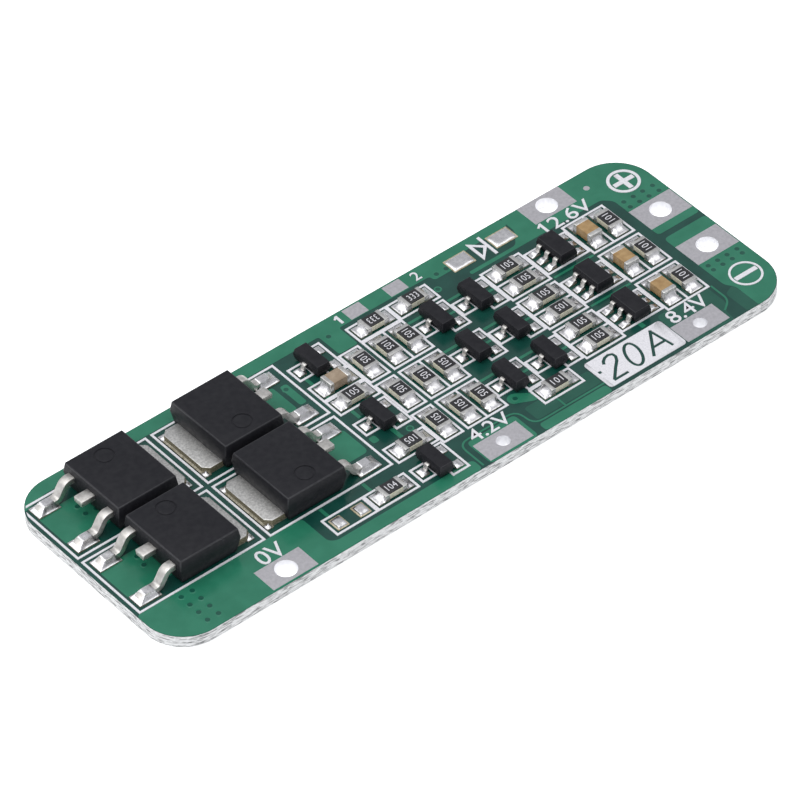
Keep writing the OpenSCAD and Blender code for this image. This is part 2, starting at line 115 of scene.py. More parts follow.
turn = Matrix.Rotation(math.radians(AZIMUTH), 4, "Z")
tilt = Matrix.Rotation(math.radians(90 - ELEVATION), 4, "X")
roll = Matrix.Rotation(math.radians(ROLL), 4, "Z")
back = Matrix.Translation((0, 0, DISTANCE * MM))
camera = new_object("camera", bpy.data.cameras.new("camera"))
camera.matrix_world = Matrix.Translation(AIM * MM) @ turn @ tilt @ roll @ back
camera.data.lens = FOCAL
camera.data.sensor_width = SENSOR
camera.data.clip_start = NEAREST * MM
bpy.context.scene.camera = camera
print("camera at", [round(c / MM, 1) for c in camera.matrix_world.translation], "mm")

# %% [markdown]
# ## Bench and light
# The board lies on a white bench inside a light tent. Metal looks like what it mirrors, so solder
# needs something to mirror: one broad bright panel above and to the left, weaker ones on the right,
# behind and overhead, and a grey tent that is darker than the panels. The bench glows a little of
# its own, as white paper over a light table does, so that shadows stay pale.

# %% Bench
BENCH_SIZE = 1600.0
BENCH_GAP = 0.05

bench_bm = bmesh.new()
bmesh.ops.create_grid(bench_bm, x_segments=1, y_segments=1, size=BENCH_SIZE * MM / 2,
                      matrix=Matrix.Translation((0, 0, (board_low.z - BENCH_GAP) * MM)))
bench_mesh = bpy.data.meshes.new("bench")
bench_bm.to_mesh(bench_mesh)
bench_bm.free()
bench = new_object("bench", bench_mesh)
bench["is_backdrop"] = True

paper = bpy.data.materials.new("white paper")
paper.use_nodes = True
for socket, value in (("Base Color", (0.92, 0.92, 0.92, 1)), ("Roughness", 0.9), ("Specular IOR Level", 0.1),
                      ("Emission Color", (1, 1, 1, 1)), ("Emission Strength", 0.45)):
    paper.node_tree.nodes["Principled BSDF"].inputs[socket].default_value = value
bench_mesh.materials.append(paper)
print("bench", BENCH_SIZE, "mm square")

# %% Tent and panels


def panel(name, azimuth, elevation, distance, size, power):
    lamp = bpy.data.lights.new(name, "AREA")
    lamp.shape = "RECTANGLE"
    lamp.size = size[0] * MM
    lamp.size_y = size[1] * MM
    lamp.energy = power
    around = Matrix.Rotation(math.radians(azimuth), 4, "Z")
    up = Matrix.Rotation(math.radians(90 - elevation), 4, "X")
    new_object(name, lamp).matrix_world = around @ up @ Matrix.Translation((0, 0, distance * MM))


tent = bpy.data.worlds.new("tent")
tent.use_nodes = True
tent_shader = tent.node_tree.nodes["Background"]
tent_shader.inputs["Color"].default_value = (0.93, 0.95, 1, 1)
tent_shader.inputs["Strength"].default_value = 0.55
bpy.context.scene.world = tent

panel("upper left panel", -75, 62, 500, (620, 460), 1.78)
panel("front right panel", 45, 50, 560, (320, 280), 0.33)
panel("back left panel", -139, 41, 560, (300, 260), 0.28)
panel("top panel", 150, 78, 620, (260, 260), 0.3)
bpy.context.scene.view_settings.view_transform = "Standard"
print("lights", len(bpy.data.lights))

# %% [markdown]
# ## Finishes
# No real surface has one even tone. A small helper builds a finish from a noise with a stated grain:
# it drifts between two colours and two roughnesses, and a finer noise raises a little relief.
# Values that don't vary are set straight on the shader. The noise reads object coordinates, and all
# objects sit at the origin, so a grain of a tenth of a millimetre is that size everywhere.

# %% A finish with grain
FINER = 0.6


def noise_of(tree, grain, detail=4.0, stretch=(1, 1, 1), lean=0.0):
    where = tree.nodes.new("ShaderNodeTexCoord")
    squeeze = tree.nodes.new("ShaderNodeMapping")
    squeeze.inputs["Scale"].default_value = stretch
    squeeze.inputs["Rotation"].default_value = (lean, lean, 0)
    noise = tree.nodes.new("ShaderNodeTexNoise")
    noise.inputs["Scale"].default_value = 1 / (grain * MM)
    noise.inputs["Detail"].default_value = detail
    tree.links.new(where.outputs["Object"], squeeze.inputs["Vector"])
    tree.links.new(squeeze.outputs["Vector"], noise.inputs["Vector"])
    return noise.outputs["Fac"]


def spread(tree, source, low, high, start=0.35, end=0.65):
    stretch = tree.nodes.new("ShaderNodeMapRange")
    stretch.inputs["From Min"].default_value = start
    stretch.inputs["From Max"].default_value = end
    stretch.inputs["To Min"].default_value = low
    stretch.inputs["To Max"].default_value = high
    tree.links.new(source, stretch.inputs["Value"])
    return stretch.outputs["Result"]


def blend_colours(tree, factor, first, second):
    mix = tree.nodes.new("ShaderNodeMix")
    mix.data_type = "RGBA"
    tree.links.new(factor, mix.inputs["Factor"])
    for socket, colour in ((mix.inputs["A"], first), (mix.inputs["B"], second)):
        if isinstance(colour, tuple):
            socket.default_value = (*colour, 1)
        else:
            tree.links.new(colour, socket)
    return mix.outputs["Result"]


def relief(tree, shader, height, depth):
    bump = tree.nodes.new("ShaderNodeBump")
    bump.inputs["Distance"].default_value = depth * MM
    bump.inputs["Strength"].default_value = 1.0
    tree.links.new(height, bump.inputs["Height"])
    tree.links.new(bump.outputs["Normal"], shader.inputs["Normal"])


def finish(name, first, second, grain, rough, metal=0.0, relief_grain=0.05, relief_depth=0.002,
           specular=0.5):
    made = bpy.data.materials.new(name)
    made.use_nodes = True
    tree = made.node_tree
    shader = tree.nodes["Principled BSDF"]
    drift = spread(tree, noise_of(tree, grain), 0, 1)
    tree.links.new(blend_colours(tree, drift, first, second), shader.inputs["Base Color"])
    uneven = spread(tree, noise_of(tree, grain * FINER), *rough)
    tree.links.new(uneven, shader.inputs["Roughness"])
    shader.inputs["Metallic"].default_value = metal
    shader.inputs["Specular IOR Level"].default_value = specular
    relief(tree, shader, noise_of(tree, relief_grain, 2), relief_depth)
    made.diffuse_color = (*second, 1)
    return made


# %% [markdown]
# Black moulding compound is epoxy full of fine glass dust, so it is matt with a fine grain. Its upper
# edges are painted lighter and smoother: a painted highlight where the bevels catch light. The chips are
# cream ceramic with a black glaze, the capacitors are tan ceramic, and both have tin ends. One capacitor
# came from another batch and is paler. The ink is a thick white epoxy that stands a little above the lacquer.

# %% Finishes of the components
mould = finish("moulding compound", (0.010, 0.010, 0.013), (0.015, 0.015, 0.018), 0.5, (0.44, 0.56),
               relief_grain=0.035, relief_depth=0.003, specular=0.2)
# lighter and glossier than the body: a painted highlight along the upper edges
mould_edge_highlight = finish("moulding edge with painted highlight", (0.018, 0.018, 0.021), (0.028, 0.028, 0.032), 0.3, (0.34, 0.46),
                    relief_grain=0.05, relief_depth=0.002, specular=0.35)
ceramic = finish("cream ceramic", (0.50, 0.48, 0.36), (0.66, 0.64, 0.53), 0.15, (0.6, 0.8),
                 relief_depth=0.004)
glaze = finish("black glaze", (0.010, 0.010, 0.012), (0.018, 0.018, 0.020), 0.3, (0.28, 0.42),
               relief_grain=0.12, relief_depth=0.003)
tan = finish("tan ceramic", (0.29, 0.175, 0.070), (0.39, 0.255, 0.115), 0.5, (0.35, 0.5), relief_depth=0.003)
pale_tan = finish("pale tan ceramic", (0.25, 0.185, 0.125), (0.34, 0.265, 0.19), 0.5, (0.35, 0.5),
                  relief_depth=0.003)
white_ink = finish("white ink", (0.61, 0.605, 0.635), (0.735, 0.725, 0.755), 0.12, (0.5, 0.65),
                   relief_depth=0.006)
component_finishes = (mould, mould_edge_highlight, ceramic, glaze, tan, pale_tan, white_ink)
print("component finishes:", ", ".join(made.name for made in component_finishes))

# %% [markdown]
# Tin and solder are the same metal in several states. A rolled and plated lead is satin, the broad tab
# is speckled, a flat plate that was levelled with hot air is dull grey, and solder that froze in the
# oven is nearly a mirror. The cut edge of a copper strip shows copper through the tin, dulled to olive,
# and flux stains the rim of a land gold or cream. At a power tab's end both are darker than that: the
# tab's cut side and its fillet also carry painted shade, the shadow that lies on that fillet.

# %% Finishes of the metals
tin_plate = finish("dull tin plate", (0.50, 0.49, 0.51), (0.58, 0.565, 0.59), 0.25, (0.5, 0.62), metal=0.9,
                   relief_grain=0.06, relief_depth=0.004)
tin_lead = finish("satin tin lead", (0.56, 0.54, 0.51), (0.72, 0.70, 0.67), 0.35, (0.38, 0.52), metal=1.0,
                  relief_grain=0.07, relief_depth=0.003)
bright_solder = finish("bright solder", (0.66, 0.65, 0.66), (0.82, 0.81, 0.82), 0.4, (0.24, 0.36), metal=1.0,
                       relief_grain=0.3, relief_depth=0.003)
tab_tin = finish("speckled tin", (0.46, 0.455, 0.44), (0.68, 0.67, 0.65), 0.14, (0.36, 0.55), metal=0.95,
                 relief_grain=0.1, relief_depth=0.006)
chip_tin = finish("chip end tin", (0.60, 0.59, 0.57), (0.74, 0.73, 0.71), 0.3, (0.34, 0.46), metal=1.0,
                  relief_grain=0.08, relief_depth=0.002)
cream_rim = finish("cream flux rim", (0.36, 0.30, 0.19), (0.58, 0.52, 0.38), 0.25, (0.35, 0.5), metal=0.4)
cut_copper_and_shade = finish("cut copper edge and painted shade", (0.13, 0.11, 0.06), (0.34, 0.31, 0.22), 0.08, (0.5, 0.7), metal=0.5,
                    relief_grain=0.05, relief_depth=0.01)
flux_gold_and_shade = finish("flux gold rim and painted shade", (0.20, 0.18, 0.12), (0.40, 0.37, 0.30), 0.2, (0.45, 0.6), metal=0.5)
print("metal finishes:", tin_plate.name, tin_lead.name, tab_tin.name, bright_solder.name, chip_tin.name)

# %% [markdown]
# ## The board itself
# The lacquer is one clear green film. Over bare laminate it looks dark, over copper it looks light.
# The cut sides have no lacquer: they show glass fibres in pale resin, short slanted streaks. One
# material can hold both, because a side is a face whose normal lies flat. The plated walls of the wire
# holes are told from the plates' tops in the same way and get a paler tin: a painted reflection of the bench.

# %% Lacquer and fibre


def lacquer(name, first, second):
    return finish(name, first, second, 1.6, (0.18, 0.26), relief_grain=0.6, relief_depth=0.004)


def finish_sides(made, colour, rough=None):
    tree = made.node_tree
    shader = tree.nodes["Principled BSDF"]
    top_colour, top_rough = (shader.inputs[name].links[0].from_socket for name in ("Base Color", "Roughness"))
    where = tree.nodes.new("ShaderNodeTexCoord")
    parts = tree.nodes.new("ShaderNodeSeparateXYZ")
    size = tree.nodes.new("ShaderNodeMath")
    size.operation = "ABSOLUTE"
    tree.links.new(where.outputs["Normal"], parts.inputs["Vector"])
    tree.links.new(parts.outputs["Z"], size.inputs[0])
    level = spread(tree, size.outputs[0], 0, 1, 0.4, 0.6)
    tree.links.new(blend_colours(tree, level, colour, top_colour), shader.inputs["Base Color"])
    if rough:
        mix = tree.nodes.new("ShaderNodeMix")
        mix.inputs["A"].default_value = rough
        tree.links.new(level, mix.inputs["Factor"])
        tree.links.new(top_rough, mix.inputs["B"])
        tree.links.new(mix.outputs["Result"], shader.inputs["Roughness"])


def fibre_in_resin(tree):
    streak = spread(tree, noise_of(tree, 0.5, 3, (0.6, 0.6, 4.5), 0.06), 0, 1, 0.53, 0.6)
    weave = spread(tree, noise_of(tree, 0.22, 3, (0.4, 0.4, 2.2), 0.12), 0, 1, 0.45, 0.62)
    resin = blend_colours(tree, weave, (0.66, 0.665, 0.665), (0.44, 0.445, 0.445))
    return blend_colours(tree, streak, resin, (0.19, 0.195, 0.195))


# hole walls and plate sides get a paler tin: painted reflection of the bright bench
finish_sides(tin_plate, (0.86, 0.86, 0.88))
board_lacquer = lacquer("lacquer over laminate", (0.004, 0.044, 0.034), (0.007, 0.058, 0.044))
finish_sides(board_lacquer, fibre_in_resin(board_lacquer.node_tree), 0.75)
pour_lacquer = lacquer("lacquer over copper", (0.016, 0.145, 0.084), (0.023, 0.168, 0.100))
middling_lacquer = lacquer("lacquer over hidden copper", (0.008, 0.072, 0.049), (0.012, 0.086, 0.058))
via_lacquer = lacquer("lacquer in a via", (0.005, 0.062, 0.042), (0.008, 0.080, 0.054))


def dress(node, material):
    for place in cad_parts[node].material_slots:
        place.material = material


PADS = [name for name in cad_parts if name.startswith("pad_")]
dress("pcb", board_lacquer)
for pad in PADS:
    dress(pad, tin_plate)
print("dressed: pcb,", ", ".join(PADS))

# %% [markdown]
# ## Tools for making pieces
# Small shapes are made one by one in millimetres, each with the bmesh operator that suits it, and are
# added to the piece's own bmesh with a finish number. Large faces stay flat and the small ones between
# them are shaded smooth, so that a bevel catches light and the face beside it stays even. A layout is
# measured from the board's near left corner, so there is a ruler for that. The last step scales the
# piece to metres, hangs it on the root and hides the solids it replaces.

# %% Adding shapes and finishing a piece
SHARP = math.radians(38)
FLAT_FROM = 0.02


def add_shape(piece, shape, number=0, place=Matrix(), soft=False):
    for face in shape.faces:
        face.smooth = soft or face.calc_area() < FLAT_FROM
        if number is not None:
            face.material_index = number
    bmesh.ops.transform(shape, matrix=place, verts=shape.verts)
    scratch = bpy.data.meshes.new("scratch")
    shape.to_mesh(scratch)
    shape.free()
    piece.from_mesh(scratch)
    bpy.data.meshes.remove(scratch)


def at(x, y, z=0.0, turned=0.0):
    return Matrix.Translation((x, y, z)) @ Matrix.Rotation(math.radians(turned), 4, "Z")


def laid_at(x, y, z=top_z):
    return at(board_low.x + x, board_low.y + y, z)


def close_piece(name, piece, finishes, nodes=()):
    bmesh.ops.scale(piece, vec=(MM, MM, MM), verts=piece.verts)
    mesh = bpy.data.meshes.new(name)
    piece.to_mesh(mesh)
    piece.free()
    for material in finishes:
        mesh.materials.append(material)
    mesh.set_sharp_from_angle(angle=SHARP)
    made = new_object(name, mesh)
    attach(made, "root")
    if nodes:
        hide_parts(*nodes)
    return made


# %% [markdown]
# A block with rounded edges is a cube, scaled and bevelled. A plate with rounded corners is a flat
# square whose corner points are bevelled before it is pulled up. A disc starts from a circle.

# %% Blocks, plates and discs


def all_of(shape):
    return shape.verts[:] + shape.edges[:] + shape.faces[:]


def round_edges(shape, edges, width, segments=2):
    bmesh.ops.bevel(shape, geom=edges, offset=width, offset_type="OFFSET", segments=segments,
                    profile=0.5, affect="EDGES", material=-1, clamp_overlap=True)


def block(size, centre=(0, 0, 0), rounding=0.0, segments=2):
    shape = bmesh.new()
    bmesh.ops.create_cube(shape, size=1)
    bmesh.ops.scale(shape, vec=size, verts=shape.verts)
    bmesh.ops.translate(shape, vec=centre, verts=shape.verts)
    if rounding:
        round_edges(shape, shape.edges[:], rounding, segments)
    return shape


def pull_up(shape, height, rounding=0.0):
    flat = shape.faces[:]
    pulled = bmesh.ops.extrude_face_region(shape, geom=flat)["geom"]
    raised = [g for g in pulled if isinstance(g, bmesh.types.BMVert)]
    bmesh.ops.translate(shape, vec=(0, 0, height), verts=raised)
    bmesh.ops.recalc_face_normals(shape, faces=shape.faces)
    if rounding:
        shape.normal_update()
        top = [e for e in shape.edges if all(v in raised for v in e.verts)]
        round_edges(shape, top, rounding)
    return shape


def rounded_plate(size, height, corner, rounding=0.0):
    shape = bmesh.new()
    bmesh.ops.create_grid(shape, x_segments=1, y_segments=1, size=0.5)
    bmesh.ops.scale(shape, vec=(size[0], size[1], 1), verts=shape.verts)
    bmesh.ops.bevel(shape, geom=shape.verts[:], offset=corner, offset_type="OFFSET", segments=5,
                    profile=0.5, affect="VERTICES", material=-1, clamp_overlap=True)
    return pull_up(shape, height, rounding)


def disc(radius, height, rounding=0.0, segments=24):
    shape = bmesh.new()
    bmesh.ops.create_circle(shape, cap_ends=True, radius=radius, segments=segments)
    return pull_up(shape, height, rounding)


def extent(shape):
    low = [min(v.co[i] for v in shape.verts) for i in range(3)]
    high = [max(v.co[i] for v in shape.verts) for i in range(3)]
    return Vector(low), Vector(high)


trial = rounded_plate((2, 1), 0.1, 0.2, 0.02)
low, high = extent(trial)
print("a plate has", len(trial.faces), "faces; size", [round(side, 3) for side in high - low])
trial.free()

# %% [markdown]
# ## Copper under the lacquer
# Where copper was left under the lacquer the film stands up to a hundredth of a millimetre higher and looks
# lighter. Areas are flat outlines with rounded corners, pulled up by that much. Tracks are ribbons: one
# edge laid across the line and extruded from point to point along it, round corners that are arcs.

# %% Sheets and ribbons
CLOSEST, MERGE = 0.003, 0.0005
MITRE = 0.4


def arc_between(before, corner, after, radius, steps=5):
    one, two = (Vector(before) - Vector(corner)), (Vector(after) - Vector(corner))
    radius = min(radius, one.length / 2, two.length / 2)
    start, end = Vector(corner) + one.normalized() * radius, Vector(corner) + two.normalized() * radius
    points = []
    for k in range(steps + 1):
        t = k / steps
        points.append((1 - t) ** 2 * start + 2 * t * (1 - t) * Vector(corner) + t ** 2 * end)
    return points


def smooth_line(points, radius, closed=False):
    line = []
    count = len(points)
    for k, point in enumerate(points):
        if not closed and k in (0, count - 1):
            line.append(Vector(point))
        else:
            line += arc_between(points[k - 1], point, points[(k + 1) % count], radius)
    return [point for k, point in enumerate(line) if (point - line[k - 1]).length > CLOSEST]


def sheet(points, height, corner=0.4):
    shape = bmesh.new()
    ring = [shape.verts.new((p.x, p.y, 0)) for p in smooth_line(points, corner, True)]
    shape.faces.new(ring)
    bmesh.ops.recalc_face_normals(shape, faces=shape.faces)
    return pull_up(shape, height)


def ribbon(points, width, height, corner=0.4, closed=False):
    line = smooth_line(points, corner, closed) if corner else [Vector(p) for p in points]
    count = len(line)
    shape = bmesh.new()
    edge = shape.edges.new([shape.verts.new(), shape.verts.new()])
    for k in range(count + closed):
        point = line[k % count]
        before = line[(k - 1) % count] if closed or k else point
        after = line[(k + 1) % count] if closed or k < count - 1 else point
        one = (point - before).normalized() if closed or k else (after - point).normalized()
        two = (after - point).normalized() if closed or k < count - 1 else one
        across = Vector((-(one + two).y, (one + two).x)).normalized()
        reach = width / 2 / max(MITRE, across.dot(Vector((-one.y, one.x))))
        if k:
            grown = bmesh.ops.extrude_edge_only(shape, edges=[edge])["geom"]
            ends = {g for g in grown if isinstance(g, bmesh.types.BMVert)}
            edge = next(e for e in shape.edges if set(e.verts) == ends)
        for end, side in zip(edge.verts, (-1, 1)):
            end.co = (*(point + across * reach * side), 0)
    if closed:
        bmesh.ops.remove_doubles(shape, verts=shape.verts, dist=MERGE)
    bmesh.ops.recalc_face_normals(shape, faces=shape.faces)
    return pull_up(shape, height)


trial = ribbon([(0, 0), (3, 0), (3, 2)], 0.2, 0.01)
print("a track has", len(trial.faces), "faces; open edges", sum(e.is_boundary for e in trial.edges))
trial.free()

# %% [markdown]
# ## Power transistors
# The body is epoxy pressed in two halves, so its sides lean in above and below a parting line, and an
# ejector pin leaves a shallow round mark on top. A cube cut at the parting line gives the form: the
# points above and below it are drawn in, and the edges are rounded. The mark is carved by a boolean, and
# a lower button is set back into it, which leaves a ring.

# %% Moulded bodies


def moulding(size, low, parting, draft_top, draft_low, rounding):
    length, width, high = size
    shape = block((length, width, high - low), (0, 0, (high + low) / 2))
    bmesh.ops.bisect_plane(shape, geom=all_of(shape), plane_co=(0, 0, parting), plane_no=(0, 0, 1))
    for level, draft in ((high, draft_top), (low, draft_low)):
        edge = [v for v in shape.verts if abs(v.co.z - level) < 0.001]
        bmesh.ops.scale(shape, vec=(1 - 2 * draft / length, 1 - 2 * draft / width, 1), verts=edge)
    shape.normal_update()
    crisp = [e for e in shape.edges if e.calc_face_angle(0) > math.radians(25)]
    round_edges(shape, crisp, rounding)
    for face in shape.faces:
        # small upward faces of the rounded edges take finish 1, the painted edge highlight
        highlit_edge = face.normal.z > 0.1 and face.calc_area() < FLAT_FROM + rounding * length
        face.material_index = int(highlit_edge)
    return shape


def carve(shape, cutter):
    solids = []
    for name, source in (("carved", shape), ("cutter", cutter)):
        mesh = bpy.data.meshes.new(name)
        source.to_mesh(mesh)
        source.free()
        solids.append(new_object(name, mesh))
    cut = solids[0].modifiers.new("cut", "BOOLEAN")
    cut.operation = "DIFFERENCE"
    cut.solver = "EXACT"
    cut.object = solids[1]
    ready = solids[0].evaluated_get(bpy.context.evaluated_depsgraph_get())
    result = bmesh.new()
    result.from_mesh(ready.to_mesh())
    ready.to_mesh_clear()
    for used in solids:
        mesh = used.data
        bpy.data.objects.remove(used)
        bpy.data.meshes.remove(mesh)
    return result


FET_LOW, FET_PARTING, FET_DRAFT, FET_ROUNDING = 0.05, 1.45, 0.12, 0.09
MARK_R, MARK_GAP, MARK_DEEP, MARK_Y = 0.8, 0.14, 0.05, 1.85
HAIR = 0.001

fet_low, fet_high = corners("power_transistor_1_body")
fet_size = fet_high - fet_low
fet_h = fet_high.z - seat_z
fets = []
for number in range(1, 5):
    body = f"power_transistor_{number}_body"
    spot = middle(body)
    turned = 0 if middle(f"power_transistor_{number}_leads").x < spot.x else 180
    place = at(spot.x, spot.y, seat_z, turned)
    fets.append((number, place))
    shape = moulding((fet_size.x, fet_size.y, fet_h), FET_LOW, FET_PARTING, FET_DRAFT, 2 * FET_DRAFT,
                     FET_ROUNDING)
    dent = disc(MARK_R, 1.0, segments=40)
    bmesh.ops.translate(dent, vec=(0, MARK_Y, fet_h - MARK_DEEP), verts=dent.verts)
    piece = bmesh.new()
    add_shape(piece, carve(shape, dent), None, place)
    button = disc(MARK_R - MARK_GAP, MARK_DEEP - 0.01, 0.015, 40)
    add_shape(piece, button, 0, place @ at(0, MARK_Y, fet_h - MARK_DEEP - HAIR))
    made = close_piece(f"power_transistor_body_{number}", piece, [mould, mould_edge_highlight], [body])
    print(made.name, len(made.data.polygons), "faces, turned", turned)

# %% [markdown]
# ### Bent leads and the tab
# All metal of a power transistor is stamped from one copper strip. Each outer lead leaves the body high up,
# bends down, bends back and ends in a flat foot. It could be an extruded side view, but a strip that
# is pulled and spun keeps its thickness through each bend, as the bent metal does: one end face is
# extruded for a straight stretch, and spun about the bend's centre for a bend. The face that was pulled
# stays behind as an inner wall, so it is dropped. The stamping tool draws the tip down to a slope.

# %% Bending a strip
BEND_STEPS = 6


def strip_end(width, thick, x, z):
    shape = bmesh.new()
    made = bmesh.ops.create_grid(shape, x_segments=1, y_segments=1, size=0.5)
    bmesh.ops.scale(shape, vec=(thick, width, 1), verts=made["verts"])
    upright = Matrix.Rotation(math.radians(90), 3, "Y")
    bmesh.ops.rotate(shape, cent=(0, 0, 0), matrix=upright, verts=made["verts"])
    bmesh.ops.translate(shape, vec=(x, 0, z + thick / 2), verts=made["verts"])
    return shape, shape.faces[:]


def drop_inner_wall(shape, face, joined):
    if joined:
        bmesh.ops.delete(shape, geom=face, context="FACES_ONLY")


def pull(shape, face, angle, length):
    joined = not face[0].edges[0].is_boundary
    pulled = bmesh.ops.extrude_face_region(shape, geom=face)["geom"]
    points = [g for g in pulled if isinstance(g, bmesh.types.BMVert)]
    bmesh.ops.translate(shape, vec=(length * math.cos(angle), 0, -length * math.sin(angle)), verts=points)
    drop_inner_wall(shape, face, joined)
    return [g for g in pulled if isinstance(g, bmesh.types.BMFace)]


def bend(shape, face, centre, angle):
    joined = not face[0].edges[0].is_boundary
    spun = bmesh.ops.spin(shape, geom=face, cent=centre, axis=(0, 1, 0), dvec=(0, 0, 0), angle=angle,
                          steps=BEND_STEPS, use_merge=False, use_normal_flip=False, use_duplicate=False)
    drop_inner_wall(shape, face, joined)
    return [g for g in spun["geom_last"] if isinstance(g, bmesh.types.BMFace)]


def gull_wing(width, thick, rise, reach, foot, inner_r, lean_degrees, inset, rounding, tip=0.0, drop=0.0):
    lean = math.radians(lean_degrees)
    ring = inner_r + thick / 2
    leg = (rise - 2 * ring * (1 - math.cos(lean))) / math.sin(lean)
    straight = reach - foot - 2 * ring * math.sin(lean) - leg * math.cos(lean)
    shape, face = strip_end(width, thick, -inset, rise)
    face = pull(shape, face, 0, inset + straight)
    face = bend(shape, face, (straight, 0, rise - inner_r), lean)
    face = pull(shape, face, lean, leg)
    face = bend(shape, face, (reach - foot, 0, inner_r + thick), -lean)
    face = pull(shape, face, 0, foot - tip)
    if tip:
        for point in pull(shape, face, 0, tip)[0].verts:
            point.co.z -= drop if point.co.z > thick / 2 else 0
    bmesh.ops.remove_doubles(shape, verts=shape.verts, dist=MERGE)
    bmesh.ops.recalc_face_normals(shape, faces=shape.faces)
    shape.normal_update()
    crisp = [e for e in shape.edges if e.calc_face_angle(0) > math.radians(60)]
    round_edges(shape, crisp, rounding)
    return shape


# %% Leadframes of the power transistors
LEAD_W, STRIP_T, LEAD_EXIT, FOOT_L = 0.75, 0.5, 1.2, 1.5
LEAD_SPREAD = 4.6
BEND_R, LEG_LEAN, TAIL = 0.35, 58, 0.9
TIP_L, TIP_DROP = 0.42, 0.3
TAB_W, TAB_CUT, TAB_ROUNDING = 5.3, 0.45, 0.07
TAB_FROM, LAND_LIP = 0.5, 0.15
STUB_W, STUB_L, STUB_TAIL, STUB_ROUNDING = 0.95, 1.15, 0.6, 0.06
STRIP_ROUNDING = 0.05

strip_low, strip_high = corners("power_transistor_1_leads")
fet_mid = middle("power_transistor_1_body")
toe_x = strip_low.x - fet_mid.x
tab_x = strip_high.x - fet_mid.x
wall_x = fet_size.x / 2
mirrored = Matrix.Scale(-1, 4, (1, 0, 0))


def outer_lead():
    return gull_wing(LEAD_W, STRIP_T, LEAD_EXIT, -toe_x - wall_x, FOOT_L, BEND_R, LEG_LEAN, TAIL,
                     STRIP_ROUNDING, TIP_L, TIP_DROP)


def tab():
    shape = block((tab_x - TAB_FROM, TAB_W, STRIP_T), ((tab_x + TAB_FROM) / 2, 0, STRIP_T / 2))
    shape.normal_update()
    outer = [e for e in shape.edges if all(v.co.x > TAB_FROM + 0.1 for v in e.verts)
             and abs(e.verts[0].co.z - e.verts[1].co.z) > 0.1]
    round_edges(shape, outer, TAB_CUT, 1)
    shape.normal_update()
    rim = [e for e in shape.edges if all(v.co.z > STRIP_T - HAIR for v in e.verts)]
    round_edges(shape, rim, TAB_ROUNDING, 3)
    for face in shape.faces:
        # the tab's sides get the dark cut-copper finish: bare copper, darkened further as painted shade
        face.material_index = 1 if abs(face.normal.z) < 0.3 else 2
    return shape


trial = outer_lead()
low, high = extent(trial)
print("a lead has", len(trial.faces), "faces; open edges", sum(not e.is_manifold for e in trial.edges),
      "size", [round(side, 3) for side in high - low])
trial.free()

for number, place in fets:
    piece = bmesh.new()
    add_shape(piece, tab(), None, place)
    for side in (-1, 1):
        lead = outer_lead()
        bmesh.ops.transform(lead, matrix=at(-wall_x, side * LEAD_SPREAD / 2) @ mirrored, verts=lead.verts)
        bmesh.ops.reverse_faces(lead, faces=lead.faces)
        add_shape(piece, lead, 0, place, True)
    stub_l = STUB_L + STUB_TAIL
    stub_mid = (stub_l / 2 - wall_x - STUB_L, 0, LEAD_EXIT + STRIP_T / 2)
    add_shape(piece, block((stub_l, STUB_W, STRIP_T), stub_mid, STUB_ROUNDING), 0, place)
    made = close_piece(f"power_transistor_leads_{number}", piece, [tin_lead, cut_copper_and_shade, tab_tin],
                       [f"power_transistor_{number}_leads"])
    print(made.name, len(made.data.polygons), "faces")

# %% [markdown]
# ## Wet solder
# Molten solder climbs what it wets and freezes in a hollow curve: steep at the metal, flat at the land's
# rim. A sheet of small squares can be lifted point by point to that curve. An extruded side view can't
# give it, because the curve falls away on every side. The sheet's rim is then pulled down to the board.
# The side of a land is bare and stained gold by flux, so it gets its own finish. The same dark finish
# covers the whole fillet at a tab's end, where it is painted shade on that fillet.

# %% A lifted sheet
HOLLOWNESS = 1.8


def mound(low, high, cells, height_at):
    shape = bmesh.new()
    bmesh.ops.create_grid(shape, x_segments=cells[0], y_segments=cells[1], size=0.5)
    size = (high[0] - low[0], high[1] - low[1])
    bmesh.ops.scale(shape, vec=(size[0], size[1], 1), verts=shape.verts)
    bmesh.ops.translate(shape, vec=((low[0] + high[0]) / 2, (low[1] + high[1]) / 2, 0), verts=shape.verts)
    for point in shape.verts:
        point.co.z = height_at(point.co.x, point.co.y)
    rim = [e for e in shape.edges if e.is_boundary]
    skirt = bmesh.ops.extrude_edge_only(shape, edges=rim)["geom"]
    for part in skirt:
        if isinstance(part, bmesh.types.BMVert):
            part.co.z = 0
        if isinstance(part, bmesh.types.BMFace):
            part.material_index = 1
    base = [e for e in shape.edges if e.is_boundary]
    bmesh.ops.edgeloop_fill(shape, edges=base, mat_nr=1)
    bmesh.ops.recalc_face_normals(shape, faces=shape.faces)
    return shape


def hollow(distance, reach):
    left = max(0.0, 1 - distance / reach)
    return left ** HOLLOWNESS


def swell(distance, reach):
    return 0.5 + 0.5 * math.cos(math.pi * min(1.0, distance / reach))


def plump(share):
    return math.sqrt(max(0.0, 1 - share ** 4))


# %% Solder of the power transistors
FOOT_FILLET, TOE_RAMP = 0.28, 0.75
HEEL_AT, HEEL_REACH = 0.25, 0.45
BLOB_R = 0.3
RIPPLE, FOOT_SKIN = 0.015, 0.03
shake = random.Random(7)


